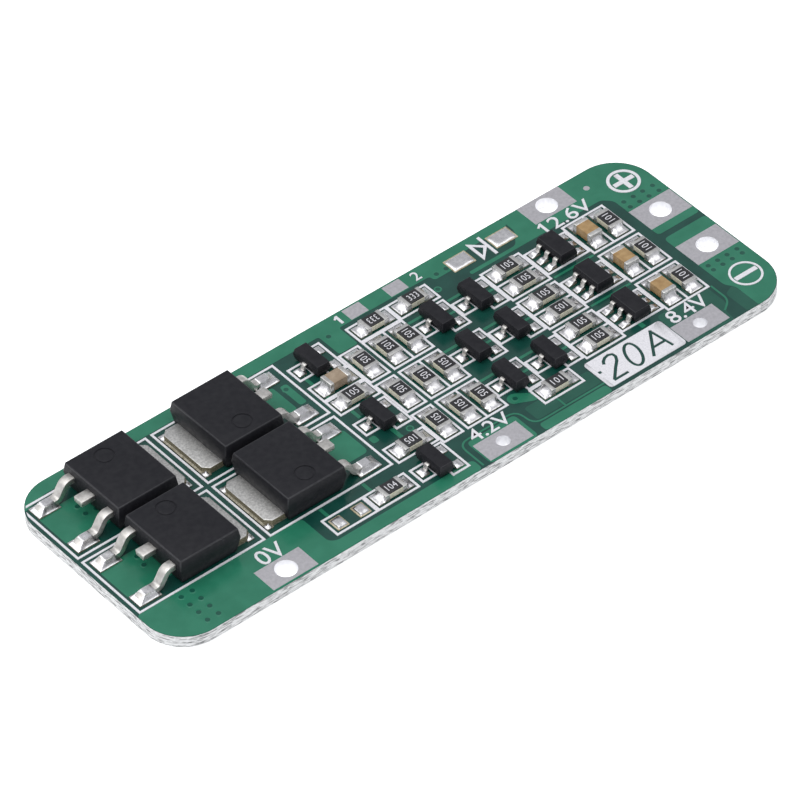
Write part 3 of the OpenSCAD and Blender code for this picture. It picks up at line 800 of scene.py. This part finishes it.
def foot_solder(strength, lean_y):
    half = LEAD_W / 2

    def height(x, y):
        up_toe = min(1.0, max(0.0, x - toe_x + FOOT_FILLET) / TOE_RAMP) ** 1.2
        off = abs(y - 0.1 * lean_y * (1 - up_toe))
        up_side = min(1.0, max(0.0, half + FOOT_FILLET - off) / (FOOT_FILLET + 0.05))
        climb = min(up_toe, up_side ** 1.5)
        heel = swell(max(0.0, x - toe_x - FOOT_L + HEEL_AT), HEEL_REACH)
        ripple = RIPPLE * math.sin(5 * x + 3 * y + 20 * strength)
        return land_t + (STRIP_T + FOOT_SKIN * strength + ripple) * climb * heel + FOOT_SKIN * heel

    return mound((toe_x - FOOT_FILLET, -half - FOOT_FILLET), (toe_x + FOOT_L + 0.2, half + FOOT_FILLET),
                 (30, 22), height)


def tab_rim(x, y):
    return land_t + 0.1 * hollow(x - tab_x, 0.17) * plump(abs(y) / (TAB_W / 2 - TAB_CUT + 0.05))


piece = bmesh.new()
for number, place in fets:
    on_board = place @ Matrix.Translation((0, 0, -land_t))
    for side in (-1, 1):
        shape = foot_solder(shake.uniform(0.96, 1.06), shake.uniform(-1, 1))
        add_shape(piece, shape, None, on_board @ at(0, side * LEAD_SPREAD / 2))
    land = block((tab_x + LAND_LIP - TAB_FROM, TAB_W, land_t - 0.01),
                 ((tab_x + LAND_LIP + TAB_FROM) / 2, 0, land_t / 2 - 0.005))
    add_shape(piece, land, 1, on_board)
    half = TAB_W / 2 - TAB_CUT
    # the fillet at the tab's end is all in the dark flux finish: partly flux stain, partly painted shade
    add_shape(piece, mound((tab_x - 0.04, -half), (tab_x + LAND_LIP, half), (6, 30), tab_rim), 1, on_board)
    for side in (-1, 1):
        corner_y = side * (TAB_W / 2 - LAND_LIP)

        def blob(x, y):
            return land_t + BLOB_R * hollow(math.hypot(x - tab_x + LAND_LIP, y - corner_y), BLOB_R)

        drop = mound((tab_x - LAND_LIP - BLOB_R, corner_y - BLOB_R), (tab_x + LAND_LIP, corner_y + BLOB_R),
                     (10, 10), blob)
        add_shape(piece, drop, None, on_board)
made = close_piece("solder_of_power_transistors", piece, [bright_solder, flux_gold_and_shade],
                   ["solder_power"])
print(made.name, len(made.data.polygons), "faces")

# %% [markdown]
# ## Chip resistors
# A chip resistor is a white ceramic slab with tin wrapped round both ends and a black glaze over the
# resistive film. The value is printed on the glaze as three digits: two figures and the count of
# zeros. The parts were dropped on the board by a machine that doesn't care which way up they read, so
# some codes are upside down. The digits are real lettering, thinned and raised a hair above the glaze.

# %% Digits and words


def letters(text, height, width, thick, stroke, tracking=1.0):
    curve = bpy.data.curves.new("letters", "FONT")
    curve.body = text
    curve.resolution_u = 3
    curve.offset = stroke
    curve.space_character = tracking
    holder = new_object("letters", curve)
    ready = holder.evaluated_get(bpy.context.evaluated_depsgraph_get())
    shape = bmesh.new()
    shape.from_mesh(ready.to_mesh())
    ready.to_mesh_clear()
    bpy.data.objects.remove(holder)
    bpy.data.curves.remove(curve)
    bmesh.ops.remove_doubles(shape, verts=shape.verts, dist=MERGE)
    low, high = extent(shape)
    bmesh.ops.translate(shape, vec=-(low + high) / 2, verts=shape.verts)
    scale = (width / (high.x - low.x), height / (high.y - low.y), 1)
    bmesh.ops.scale(shape, vec=scale, verts=shape.verts)
    return pull_up(shape, thick)


trial = letters("105", 0.6, 0.92, 0.01, 0.0)
print("105 takes", len(trial.faces), "faces")
trial.free()

# %% Resistors
CHIP_END_L, CHIP_END_T = 0.4, 0.03
GLAZE = (1.32, 1.16)
DIGITS, DIGIT_T, DIGIT_THINNED, DIGIT_TRACKING = (0.62, 0.90), 0.006, -0.004, 1.1
FLIPPED = {3, 7, 8, 11, 12, 13, 14, 15, 18, 19, 22}
VALUES = {19: "333", 20: "333", 23: "104", 24: "101", 6: "101", 12: "101", 18: "101"}

chip_low, chip_high = corners("resistor_4")
chip_l, chip_w = chip_high.x - chip_low.x, chip_high.y - chip_low.y
resistor_h = chip_high.z - seat_z - CHIP_END_T


def chip_place(node):
    low, high = corners(node)
    standing = high.y - low.y > high.x - low.x
    spot = (low + high) / 2
    return at(spot.x, spot.y, seat_z, 90 if standing else 0)


def tin_ends(piece, height, place, rounding):
    for side in (-1, 1):
        centre = (side * (chip_l - CHIP_END_L) / 2, 0, height / 2)
        add_shape(piece, block((CHIP_END_L, chip_w, height), centre, rounding, 3), 1, place)


RESISTORS = sum(name.startswith("resistor_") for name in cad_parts)
resistor_finishes = [ceramic, chip_tin, glaze, white_ink]
for number in range(1, RESISTORS + 1):
    node = f"resistor_{number}"
    place = chip_place(node)
    piece = bmesh.new()
    core = (chip_l - 2 * CHIP_END_T, chip_w - 0.01, resistor_h - 2 * CHIP_END_T)
    add_shape(piece, block(core, (0, 0, resistor_h / 2), 0.02), 0, place)
    tin_ends(piece, resistor_h, place, 0.035)
    field = rounded_plate(GLAZE, 2 * CHIP_END_T, 0.03, 0.02)
    add_shape(piece, field, 2, place @ at(0, 0, resistor_h - CHIP_END_T))
    code = letters(VALUES.get(number, "105"), *DIGITS, DIGIT_T, DIGIT_THINNED, DIGIT_TRACKING)
    turned = 180 if number in FLIPPED else 0
    add_shape(piece, code, 3, place @ at(0, 0, resistor_h + CHIP_END_T - HAIR, turned))
    made = close_piece(f"chip_{node}", piece, resistor_finishes, [node])
print(RESISTORS, "resistors, each", len(made.data.polygons), "faces")

# %% [markdown]
# ## Chip capacitors
# A ceramic capacitor has no glaze and no print: a tan block, softly rounded because it was tumbled
# before firing, with thick tin caps that stand proud and swell at the corners. Rounded cubes do it, with
# a larger radius on the caps than on the body.

# %% Capacitors
capacitor_h = corners("capacitor_1")[1].z - seat_z
CAPACITORS = sum(name.startswith("capacitor_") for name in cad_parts)
for number in range(1, CAPACITORS + 1):
    node = f"capacitor_{number}"
    place = chip_place(node)
    piece = bmesh.new()
    core = (chip_l - 2 * CHIP_END_T, chip_w - 2 * CHIP_END_T, capacitor_h - 2 * CHIP_END_T)
    add_shape(piece, block(core, (0, 0, capacitor_h / 2), 0.05, 3), 0, place)
    tin_ends(piece, capacitor_h, place, 0.09)
    body_tan = pale_tan if number == 1 else tan
    made = close_piece(f"chip_{node}", piece, [body_tan, chip_tin], [node])
print(CAPACITORS, "capacitors, each", len(made.data.polygons), "faces")

# %% [markdown]
# ## Solder of the chips
# At each end of a chip the solder climbs the tin in a hollow ramp that narrows at the waist. Every
# joint froze a little differently, so its height and lean are shaken by a seeded random number.

# %% Ramps at the chips' ends
LAND_PAST, CHIP_SKIN, CHIP_RIM = 0.65, 0.02, 0.055
CHIP_KINDS = (("resistor", RESISTORS, 0.92 * resistor_h), ("capacitor", CAPACITORS, 0.62 * capacitor_h))


def ramp(height, lean):
    half = chip_w / 2
    start = chip_l / 2 - CHIP_END_T

    def surface(x, y):
        along = min(1.0, max(0.0, (x - start) / (LAND_PAST + CHIP_END_T)))
        waist = 1 - 0.16 * math.sin(math.pi * min(1, along * 1.25))
        across = min(1.0, abs(y) / (half * waist))
        climb = (1 - along) ** 1.9 * height * (1 - 0.35 * across ** 2 + lean * y)
        rim = CHIP_RIM * plump(along) * (1 - across ** 6)
        return land_t + CHIP_SKIN + climb * (1 - across ** 7) + rim

    return mound((start, -half), (chip_l / 2 + LAND_PAST, half), (12, 12), surface)


piece = bmesh.new()
for kind, count, climb in CHIP_KINDS:
    for number in range(1, count + 1):
        for way in (0, 180):
            place = chip_place(f"{kind}_{number}") @ at(0, 0, -land_t, way)
            add_shape(piece, ramp(climb * shake.uniform(0.85, 1.08), shake.uniform(-0.35, 0.35)), None, place)
            under = block((CHIP_END_L, chip_w, land_t), ((chip_l - CHIP_END_L) / 2, 0, land_t / 2))
            add_shape(piece, under, 1, place)
made = close_piece("solder_of_chips", piece, [bright_solder, flux_gold_and_shade], ["solder_chips"])
print(made.name, len(made.data.polygons), "faces")

# %% [markdown]
# ## Small transistors and cell monitors
# These are the same craft as the power transistors at a third of the size: a pressed body with a
# parting line, and gull-wing leads. The three-lead ones stand a tenth of a millimetre off the middle
# of their lands, so their place is read from the toes of their leads.

# %% Small bodies and their leads
SMALL_LOW, SMALL_PARTING, SMALL_DRAFT, SMALL_ROUNDING = 0.08, 0.55, 0.10, 0.025
SMALL_LEAD_W, SMALL_LEAD_T, SMALL_REACH, SMALL_FOOT = 0.4, 0.15, 0.6, 0.25
SMALL_BEND_R, SMALL_LEG_LEAN, SMALL_TAIL, SMALL_STRIP_ROUNDING = 0.05, 76, 0.25, 0.02
SMALL_PITCH = 0.95
THREE_LEADS = [(-1, 0), (1, -1), (1, 1)]
SIX_LEADS = [(side, rank) for side in (-1, 1) for rank in (-1, 0, 1)]


def small_part(node, leads):
    low, high = corners(node)
    body_w = high.x - low.x - 2 * SMALL_REACH
    spot = (low + high) / 2
    place = at(spot.x, spot.y, seat_z)
    size = (body_w, high.y - low.y, high.z - seat_z)
    piece = bmesh.new()
    body = moulding(size, SMALL_LOW, SMALL_PARTING, SMALL_DRAFT, SMALL_DRAFT, SMALL_ROUNDING)
    add_shape(piece, body, None, place)
    for side, rank in leads:
        lead = gull_wing(SMALL_LEAD_W, SMALL_LEAD_T, SMALL_PARTING - SMALL_LEAD_T / 2, SMALL_REACH,
                         SMALL_FOOT, SMALL_BEND_R, SMALL_LEG_LEAN, SMALL_TAIL, SMALL_STRIP_ROUNDING)
        turned = 0 if side > 0 else 180
        add_shape(piece, lead, 2, place @ at(side * body_w / 2, rank * SMALL_PITCH, 0, turned), True)
    return close_piece(f"{node}_dressed", piece, [mould, mould_edge_highlight, tin_lead], [node])


THREE = [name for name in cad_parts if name.startswith("small_transistor_")]
SIX = [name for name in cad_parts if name.startswith("cell_monitor_")]
for kind, nodes, leads in (("small transistors", THREE, THREE_LEADS), ("cell monitors", SIX, SIX_LEADS)):
    for node in nodes:
        made = small_part(node, leads)
    print(len(nodes), f"{kind}, each", len(made.data.polygons), "faces")

# %% Solder of the small leads
THREE_LAND, SIX_LAND = (0.7, 0.8), (0.8, 0.55)
TOE_TO_LAND = 0.1
SMALL_CLIMB, SMALL_FILLET, FILM = 0.16, 0.34, 0.05


def small_solder(land, foot_from, foot_to, height):
    def surface(x, y):
        off_x = max(0.0, foot_from - x, x - foot_to)
        off_y = max(0.0, abs(y) - SMALL_LEAD_W / 2)
        edge = plump(abs(x) / (land[0] / 2)) * plump(abs(y) / (land[1] / 2))
        return land_t + height * hollow(math.hypot(off_x, off_y), SMALL_FILLET) + FILM * edge

    return mound((-land[0] / 2, -land[1] / 2), (land[0] / 2, land[1] / 2), (12, 12), surface)


piece = bmesh.new()
for nodes, land, shift, leads in ((THREE, THREE_LAND, TOE_TO_LAND, THREE_LEADS),
                                  (SIX, SIX_LAND, 0.0, SIX_LEADS)):
    for node in nodes:
        low, high = corners(node)
        for side, rank in leads:
            toe = high.x if side > 0 else low.x
            place = at(toe + shift, middle(node).y + rank * SMALL_PITCH, top_z, 0 if side > 0 else 180)
            toe_at = -shift * side
            climb = SMALL_CLIMB * shake.uniform(0.9, 1.15)
            add_shape(piece, small_solder(land, toe_at - SMALL_FOOT, toe_at, climb), None, place)
made = close_piece("solder_of_small_leads", piece, [bright_solder, flux_gold_and_shade], ["solder_small"])
print(made.name, len(made.data.polygons), "faces")

# %% [markdown]
# ## Pours and tracks
# The layout is measured from the near left corner. Broad areas carry the current of the cells, so they
# lie round the terminals and under the power transistors; thin tracks carry the sensing currents.
# Copper on the far face shows faintly through the laminate as a middling green. Each sheet has a
# height of its own, a tenth of a thousandth more than the last, so that no two tops fall in one plane.
# All sheets start a little below the top of the board, and a pour is cut away under each plate, apart
# from a narrow lap at the plate's rim.

# %% Pours
CORNER_R, RIM = 3.37, 0.03
ARC_STEPS = 10


def board_arc(cx, cy, start, sweep=90):
    turns = [math.radians(start + sweep * k / ARC_STEPS) for k in range(ARC_STEPS + 1)]
    return [(cx + CORNER_R * math.cos(t), cy + CORNER_R * math.sin(t)) for t in turns]


def patch(x1, y1, x2, y2):
    return [(x1, y1), (x1, y2), (x2, y2), (x2, y1)]


length, width = board_high.x - board_low.x, board_high.y - board_low.y
far, right = width - RIM, length - RIM
inner = CORNER_R + RIM
near_left = board_arc(inner, inner, 180)
far_left = board_arc(inner, width - inner, 90, 62)
far_right = board_arc(length - inner, width - inner, 0)[::-1]
near_right = board_arc(length - inner, inner, 270)[::-1]
light_areas = [
    ([(RIM, 4.6), *near_left, (28.35, RIM), (28.35, 1.2), (15.6, 1.2), (15.1, 1.6), (15.1, 4.6)], 0.4),
    ([(28.2, 18.75), (28.2, 16.3), (30.0, 16.3), (30.0, 18.55), (38.7, 18.5), (38.8, 17.95), (40.6, 17.95),
      (41.0, 18.9), (46.9, 19.1), (46.9, far), *far_left, (2.6, 18.75)], 0.25),
    (patch(0.7, 13.4, 5.0, 17.2), 0.5),
    (patch(0.7, 6.2, 5.0, 10.0), 0.5),
    (patch(20.5, 6.85, 23.25, 9.95), 0.5),
    (patch(20.5, 13.7, 22.15, 16.75), 0.3),
    (patch(22.55, 13.9, 23.2, 16.4), 0.25),
    (patch(29.15, RIM, 33.7, 2.85), 0.4),
    (patch(34.45, RIM, 40.9, 0.9), 0.3),
    ([(41.3, 16.6), (41.3, 16.95), (45.9, 16.95), (46.9, 18.2), (46.9, far), *far_right, (right, 10.75),
      (54.8, 10.75), (54.8, 15.9), (54.1, 16.6)], 0.35),
    ([(54.8, 3.3), (54.8, 10.15), (right, 10.15), *near_right, (55.3, RIM), (55.3, 2.7)], 0.4),
    ([(34.3, 4.5), (34.9, 4.75), (35.5, 4.4), (36.4, 3.6), (36.4, 3.0), (35.9, 3.0), (34.9, 3.55),
      (34.3, 3.8)], 0.4),
    (patch(24.0, 7.2, 24.6, 7.9), 0.2),
]
middling_areas = [
    (patch(34.7, 1.3, 40.9, 2.9), 0.3),
    ([(48.6, RIM), (48.6, 4.0), (53.6, 4.0), (53.6, 1.7), (52.9, 1.0), (52.9, RIM)], 0.4),
    ([(54.2, RIM), (54.2, 2.5), (55.2, 2.9), (55.45, RIM)], 0.3),
]

# %% Tracks and vias
tracks = [
    ([(28.6, 0.25), (28.6, 3.1), (34.1, 3.1), (34.2, 1.1), (41.0, 1.1)], 0.16, 0.9),
    ([(37.25, 1.15), (37.25, 2.1)], 0.16, 0),
    ([(16.7, 3.5), (16.7, 4.5)], 0.3, 0),
    ([(20.7, 3.5), (20.7, 4.5)], 0.3, 0),
    ([(53.95, 3.9), (53.95, 1.9), (52.95, 1.2)], 0.16, 0.8),
    ([(26.0, 6.35), (26.0, 7.6)], 0.36, 0),
    ([(25.0, 10.0), (25.0, 11.0)], 0.3, 0),
    ([(24.6, 12.9), (24.6, 15.8)], 0.3, 0),
]
for spans, rows, track_w in ((((34.15, 35.6), (38.0, 39.5)), (15.5, 11.35, 7.2), 0.26),
                             (((36.95, 37.7), (40.75, 41.5)), (14.3, 10.1, 5.9), 0.24),
                             (((45.7, 49.6),), (8.05, 12.25), 0.22)):
    tracks += [([(x1, y), (x2, y)], track_w, 0) for x1, x2 in spans for y in rows]
tracks.append(([(47.2, 3.75), (47.2, 4.3)], 0.4, 0))
vias = [(27.05, 6.75), (28.8, 18.3), (38.3, 17.0), (39.3, 18.36), (40.25, 18.36), (22.8, 15.9), (34.9, 4.12)]
vias += [(x, y) for x in (55.3, 56.25, 57.2, 58.2) for y in (15.3, 14.55, 5.7, 5.1)]
vias += [(x, y) for x in (3.6, 4.6) for y in (1.0, 2.0, 3.0, 4.0)]
vias += [(3.65, 16.17), (3.65, 15.2), (4.55, 15.1), (3.75, 9.3), (3.6, 8.3)]
print(len(light_areas), "light and", len(middling_areas), "middling areas;", len(tracks), "tracks")

# %% Copper under the lacquer
SHEET_T, SHEET_STEP, SUNK = 0.012, 0.0001, 0.02
PAD_LAP = 0.1


def clear_of_pads(shape):
    low, high = extent(shape)
    for pad in PADS:
        pad_low, pad_high = corners(pad)
        if all(pad_low[i] < high[i] and pad_high[i] > low[i] for i in (0, 1)):
            size = pad_high - pad_low
            shape = carve(shape, block((size.x - 2 * PAD_LAP, size.y - 2 * PAD_LAP, 2), middle(pad)))
    return shape


piece = bmesh.new()
lift = 0
for finish_number, areas in ((0, light_areas), (1, middling_areas)):
    for points, corner in areas:
        lift += SHEET_STEP
        height = SHEET_T * (1 - 0.5 * finish_number) / 2
        shape = sheet(points, SUNK + height + lift, corner)
        bmesh.ops.transform(shape, matrix=laid_at(0, 0, top_z - SUNK), verts=shape.verts)
        add_shape(piece, clear_of_pads(shape), finish_number)
for points, track_w, corner in tracks:
    lift += SHEET_STEP
    add_shape(piece, ribbon(points, track_w, SUNK + SHEET_T + lift, corner), 0, laid_at(0, 0, top_z - SUNK))
made = close_piece("copper_under_lacquer", piece, [pour_lacquer, middling_lacquer])
print(made.name, len(made.data.polygons), "faces")

# %% [markdown]
# A via is a plated hole under the lacquer. The film sinks into it, so it shows as a ring with a dimple.
# A circle extruded inwards ring by ring gives both: high on the ring, low in the middle.

# %% Vias
VIA_R, DIMPLE_R = 0.32, 0.14
VIA_RINGS = ((0.28, 0.014), (0.2, 0.017), (DIMPLE_R, 0.016), (0.1, 0.0125), (0.05, 0.0115))


def via():
    shape = bmesh.new()
    bmesh.ops.create_circle(shape, cap_ends=False, radius=VIA_R, segments=16)
    rings = [shape.edges[:]]
    for radius, height in VIA_RINGS:
        grown = bmesh.ops.extrude_edge_only(shape, edges=rings[-1])["geom"]
        points = [g for g in grown if isinstance(g, bmesh.types.BMVert)]
        for point in points:
            flat = Vector((point.co.x, point.co.y)).normalized() * radius
            point.co = (flat.x, flat.y, height)
        rings.append([g for g in grown if isinstance(g, bmesh.types.BMEdge)
                      and all(v in points for v in g.verts)])
        for face in (g for g in grown if isinstance(g, bmesh.types.BMFace)):
            face.material_index = int(radius <= DIMPLE_R)
    bmesh.ops.edgeloop_fill(shape, edges=rings[-1], mat_nr=1)
    bmesh.ops.edgeloop_fill(shape, edges=rings[0], mat_nr=0)
    bmesh.ops.recalc_face_normals(shape, faces=shape.faces)
    return shape


piece = bmesh.new()
for x, y in vias:
    add_shape(piece, via(), None, laid_at(x, y))
made = close_piece("vias", piece, [pour_lacquer, via_lacquer])
print(len(vias), "vias,", len(made.data.polygons), "faces")

# %% [markdown]
# ## Unused lands
# A land that got solder but no part freezes as a low cushion, pulled flat by its own skin. Flux creeps
# out and leaves a cream rim round it. The lands for test probes were only levelled with hot air.

# %% Bare lands
DIODE_LAND, DIODE_SPREAD, DIODE_EDGE, DIODE_CUSHION = (2.1, 1.5), 4.13, 1.7, 0.13
SPARE_LAND, SPARE_SPREAD, SPARE_CUSHION = (1.05, 1.25), 2.05, 0.17
TEST_LAND, ROUND_R, PLATE_T, PLATE_CORNER = (1.65, 1.25), 0.25, 0.02, 0.03
LAND_T, LAND_CORNER, LAND_ROUNDING, CREAM_RIM = 0.05, 0.05, 0.015, 0.1

bare_low, bare_high = corners("bare_lands")
diode_mid = Vector((middle("resistor_4").x, board_high.y - DIODE_EDGE))
spare_mid = Vector((bare_low.x + (SPARE_SPREAD + SPARE_LAND[0]) / 2, middle("resistor_23").y))
test_y = bare_high.y - TEST_LAND[1] / 2


def cushion(size, height):
    half_x, half_y = size[0] / 2 - CREAM_RIM, size[1] / 2 - CREAM_RIM

    def surface(x, y):
        across = plump(min(1, abs(x) / half_x)) * plump(min(1, abs(y) / half_y))
        return LAND_T + height * across ** 0.8 * (1 + 0.12 * math.sin(5 * x + 2 * y))

    return mound((-half_x, -half_y), (half_x, half_y), (18, 14), surface)


piece = bmesh.new()
for mid, apart, size, height in ((diode_mid, DIODE_SPREAD, DIODE_LAND, DIODE_CUSHION),
                                 (spare_mid, SPARE_SPREAD, SPARE_LAND, SPARE_CUSHION)):
    for side in (-1, 1):
        place = at(mid.x + side * apart / 2, mid.y, top_z)
        add_shape(piece, rounded_plate(size, LAND_T, LAND_CORNER, LAND_ROUNDING), 2, place)
        add_shape(piece, cushion(size, height), None, place)
for node in ("resistor_19", "resistor_20"):
    place = at(middle(node).x, test_y, top_z)
    add_shape(piece, rounded_plate(TEST_LAND, PLATE_T, PLATE_CORNER), 3, place)
add_shape(piece, disc(ROUND_R, PLATE_T), 3, at(bare_high.x - ROUND_R, diode_mid.y + 0.05, top_z))
made = close_piece("bare_lands_dressed", piece, [bright_solder, cream_rim, cream_rim, tin_plate],
                   ["bare_lands"])
print(made.name, len(made.data.polygons), "faces")

# %% [markdown]
# ## Words and numbers
# Each terminal is marked with its voltage, and the two test lands with plain numbers. All of this is
# screen printed in the same pass as the frames, so it has the same thickness and finish. The font's
# figure one is a bare bar, so each one here gets its flag as a short ribbon.

# %% Words
BOLDER, FLAG_W, FLAG_LOWER = 0.004, 0.17, 0.002
words = [
    ("0V", (11.12, 3.27), (2.3, 1.5)),
    ("4.2V", (31.5, 3.05), (3.65, 1.3)),
    ("8.4V", (50.9, 3.13), (3.65, 1.35)),
    ("12.6V", (50.95, 16.95), (4.6, 1.3)),
    ("1", (30.55, 19.2), (0.22, 0.95)),
    ("2", (37.95, 19.2), (0.62, 0.95)),
]
flags = [[(48.78, 17.51), (48.4, 17.23)], [(30.55, 19.6), (30.26, 19.38)]]
piece = bmesh.new()
for line in flags:
    add_shape(piece, ribbon(line, FLAG_W, ink_t - FLAG_LOWER, 0), 0, laid_at(0, 0))
for text, (x, y), (width, height) in words:
    add_shape(piece, letters(text, height, width, ink_t, BOLDER), 0, laid_at(x, y))
made = close_piece("printed_words", piece, [white_ink])
print(made.name, len(made.data.polygons), "faces:", " ".join(text for text, *_ in words))

# %% [markdown]
# The current rating is the other way round: a white block in which the strokes were left open, so the
# green board shows through. The strokes are ribbons, and a boolean cuts them out of the printed block,
# as the screen's stencil kept the ink out of them. Everything else of the print keeps the solid's form.

# %% The open strokes of the rating
STROKE, DOT, SLANT = 0.25, 0.27, 0.26
RATING_X, RATING_Y, CUT_DEEP = 41.85, 0.82, 0.5


def slanted(points):
    return [(x + SLANT * y, y) for x, y in points]


def oval(cx, cy, rx, ry, count=28):
    turns = [2 * math.pi * k / count for k in range(count)]
    return [(cx + rx * math.cos(t), cy + ry * math.sin(t)) for t in turns]


strokes = [
    ([(-0.1, 1.75), (0.02, 2.05), (0.3, 2.28), (0.65, 2.35), (0.98, 2.22), (1.12, 1.9), (1.0, 1.5),
      (0.55, 0.95), (-0.12, 0.02)], False, STROKE),
    ([(-0.17, 0.0), (1.25, 0.0)], False, STROKE),
    (oval(2.45, 1.17, 0.62, 1.18), True, STROKE),
    ([(3.75, 0.0), (4.78, 2.35)], False, STROKE),
    ([(4.7, 2.35), (5.65, 0.0)], False, STROKE),
    ([(4.1, 0.78), (5.38, 0.78)], False, STROKE),
    ([(-0.9, 1.3), (-0.62, 1.3)], False, DOT),
]
ink = bmesh.new()
ink.from_mesh(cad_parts["print"].data)
bmesh.ops.scale(ink, vec=(1 / MM, 1 / MM, 1 / MM), verts=ink.verts)
bmesh.ops.remove_doubles(ink, verts=ink.verts, dist=MERGE)
for points, closed, stroke_w in strokes:
    cut = ribbon(slanted(points), stroke_w, 2 * CUT_DEEP, 0, closed)
    bmesh.ops.transform(cut, matrix=laid_at(RATING_X, RATING_Y, top_z - CUT_DEEP), verts=cut.verts)
    ink = carve(ink, cut)
piece = bmesh.new()
add_shape(piece, ink, 0)
made = close_piece("printed_frames", piece, [white_ink], ["print"])
print(made.name, len(made.data.polygons), "faces")

# %% [markdown]
# ## Size and finish
# The dressed part has to stay inside the solid part's box. Both boxes, the solid's and the dressed
# one's, are written out side by side.

# %% Write the two sizes
dressed_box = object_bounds()
for name, (low, high) in (("solid", solid_box), ("dressed", dressed_box)):
    print(name, [round(v / MM, 3) for v in high - low], "mm")
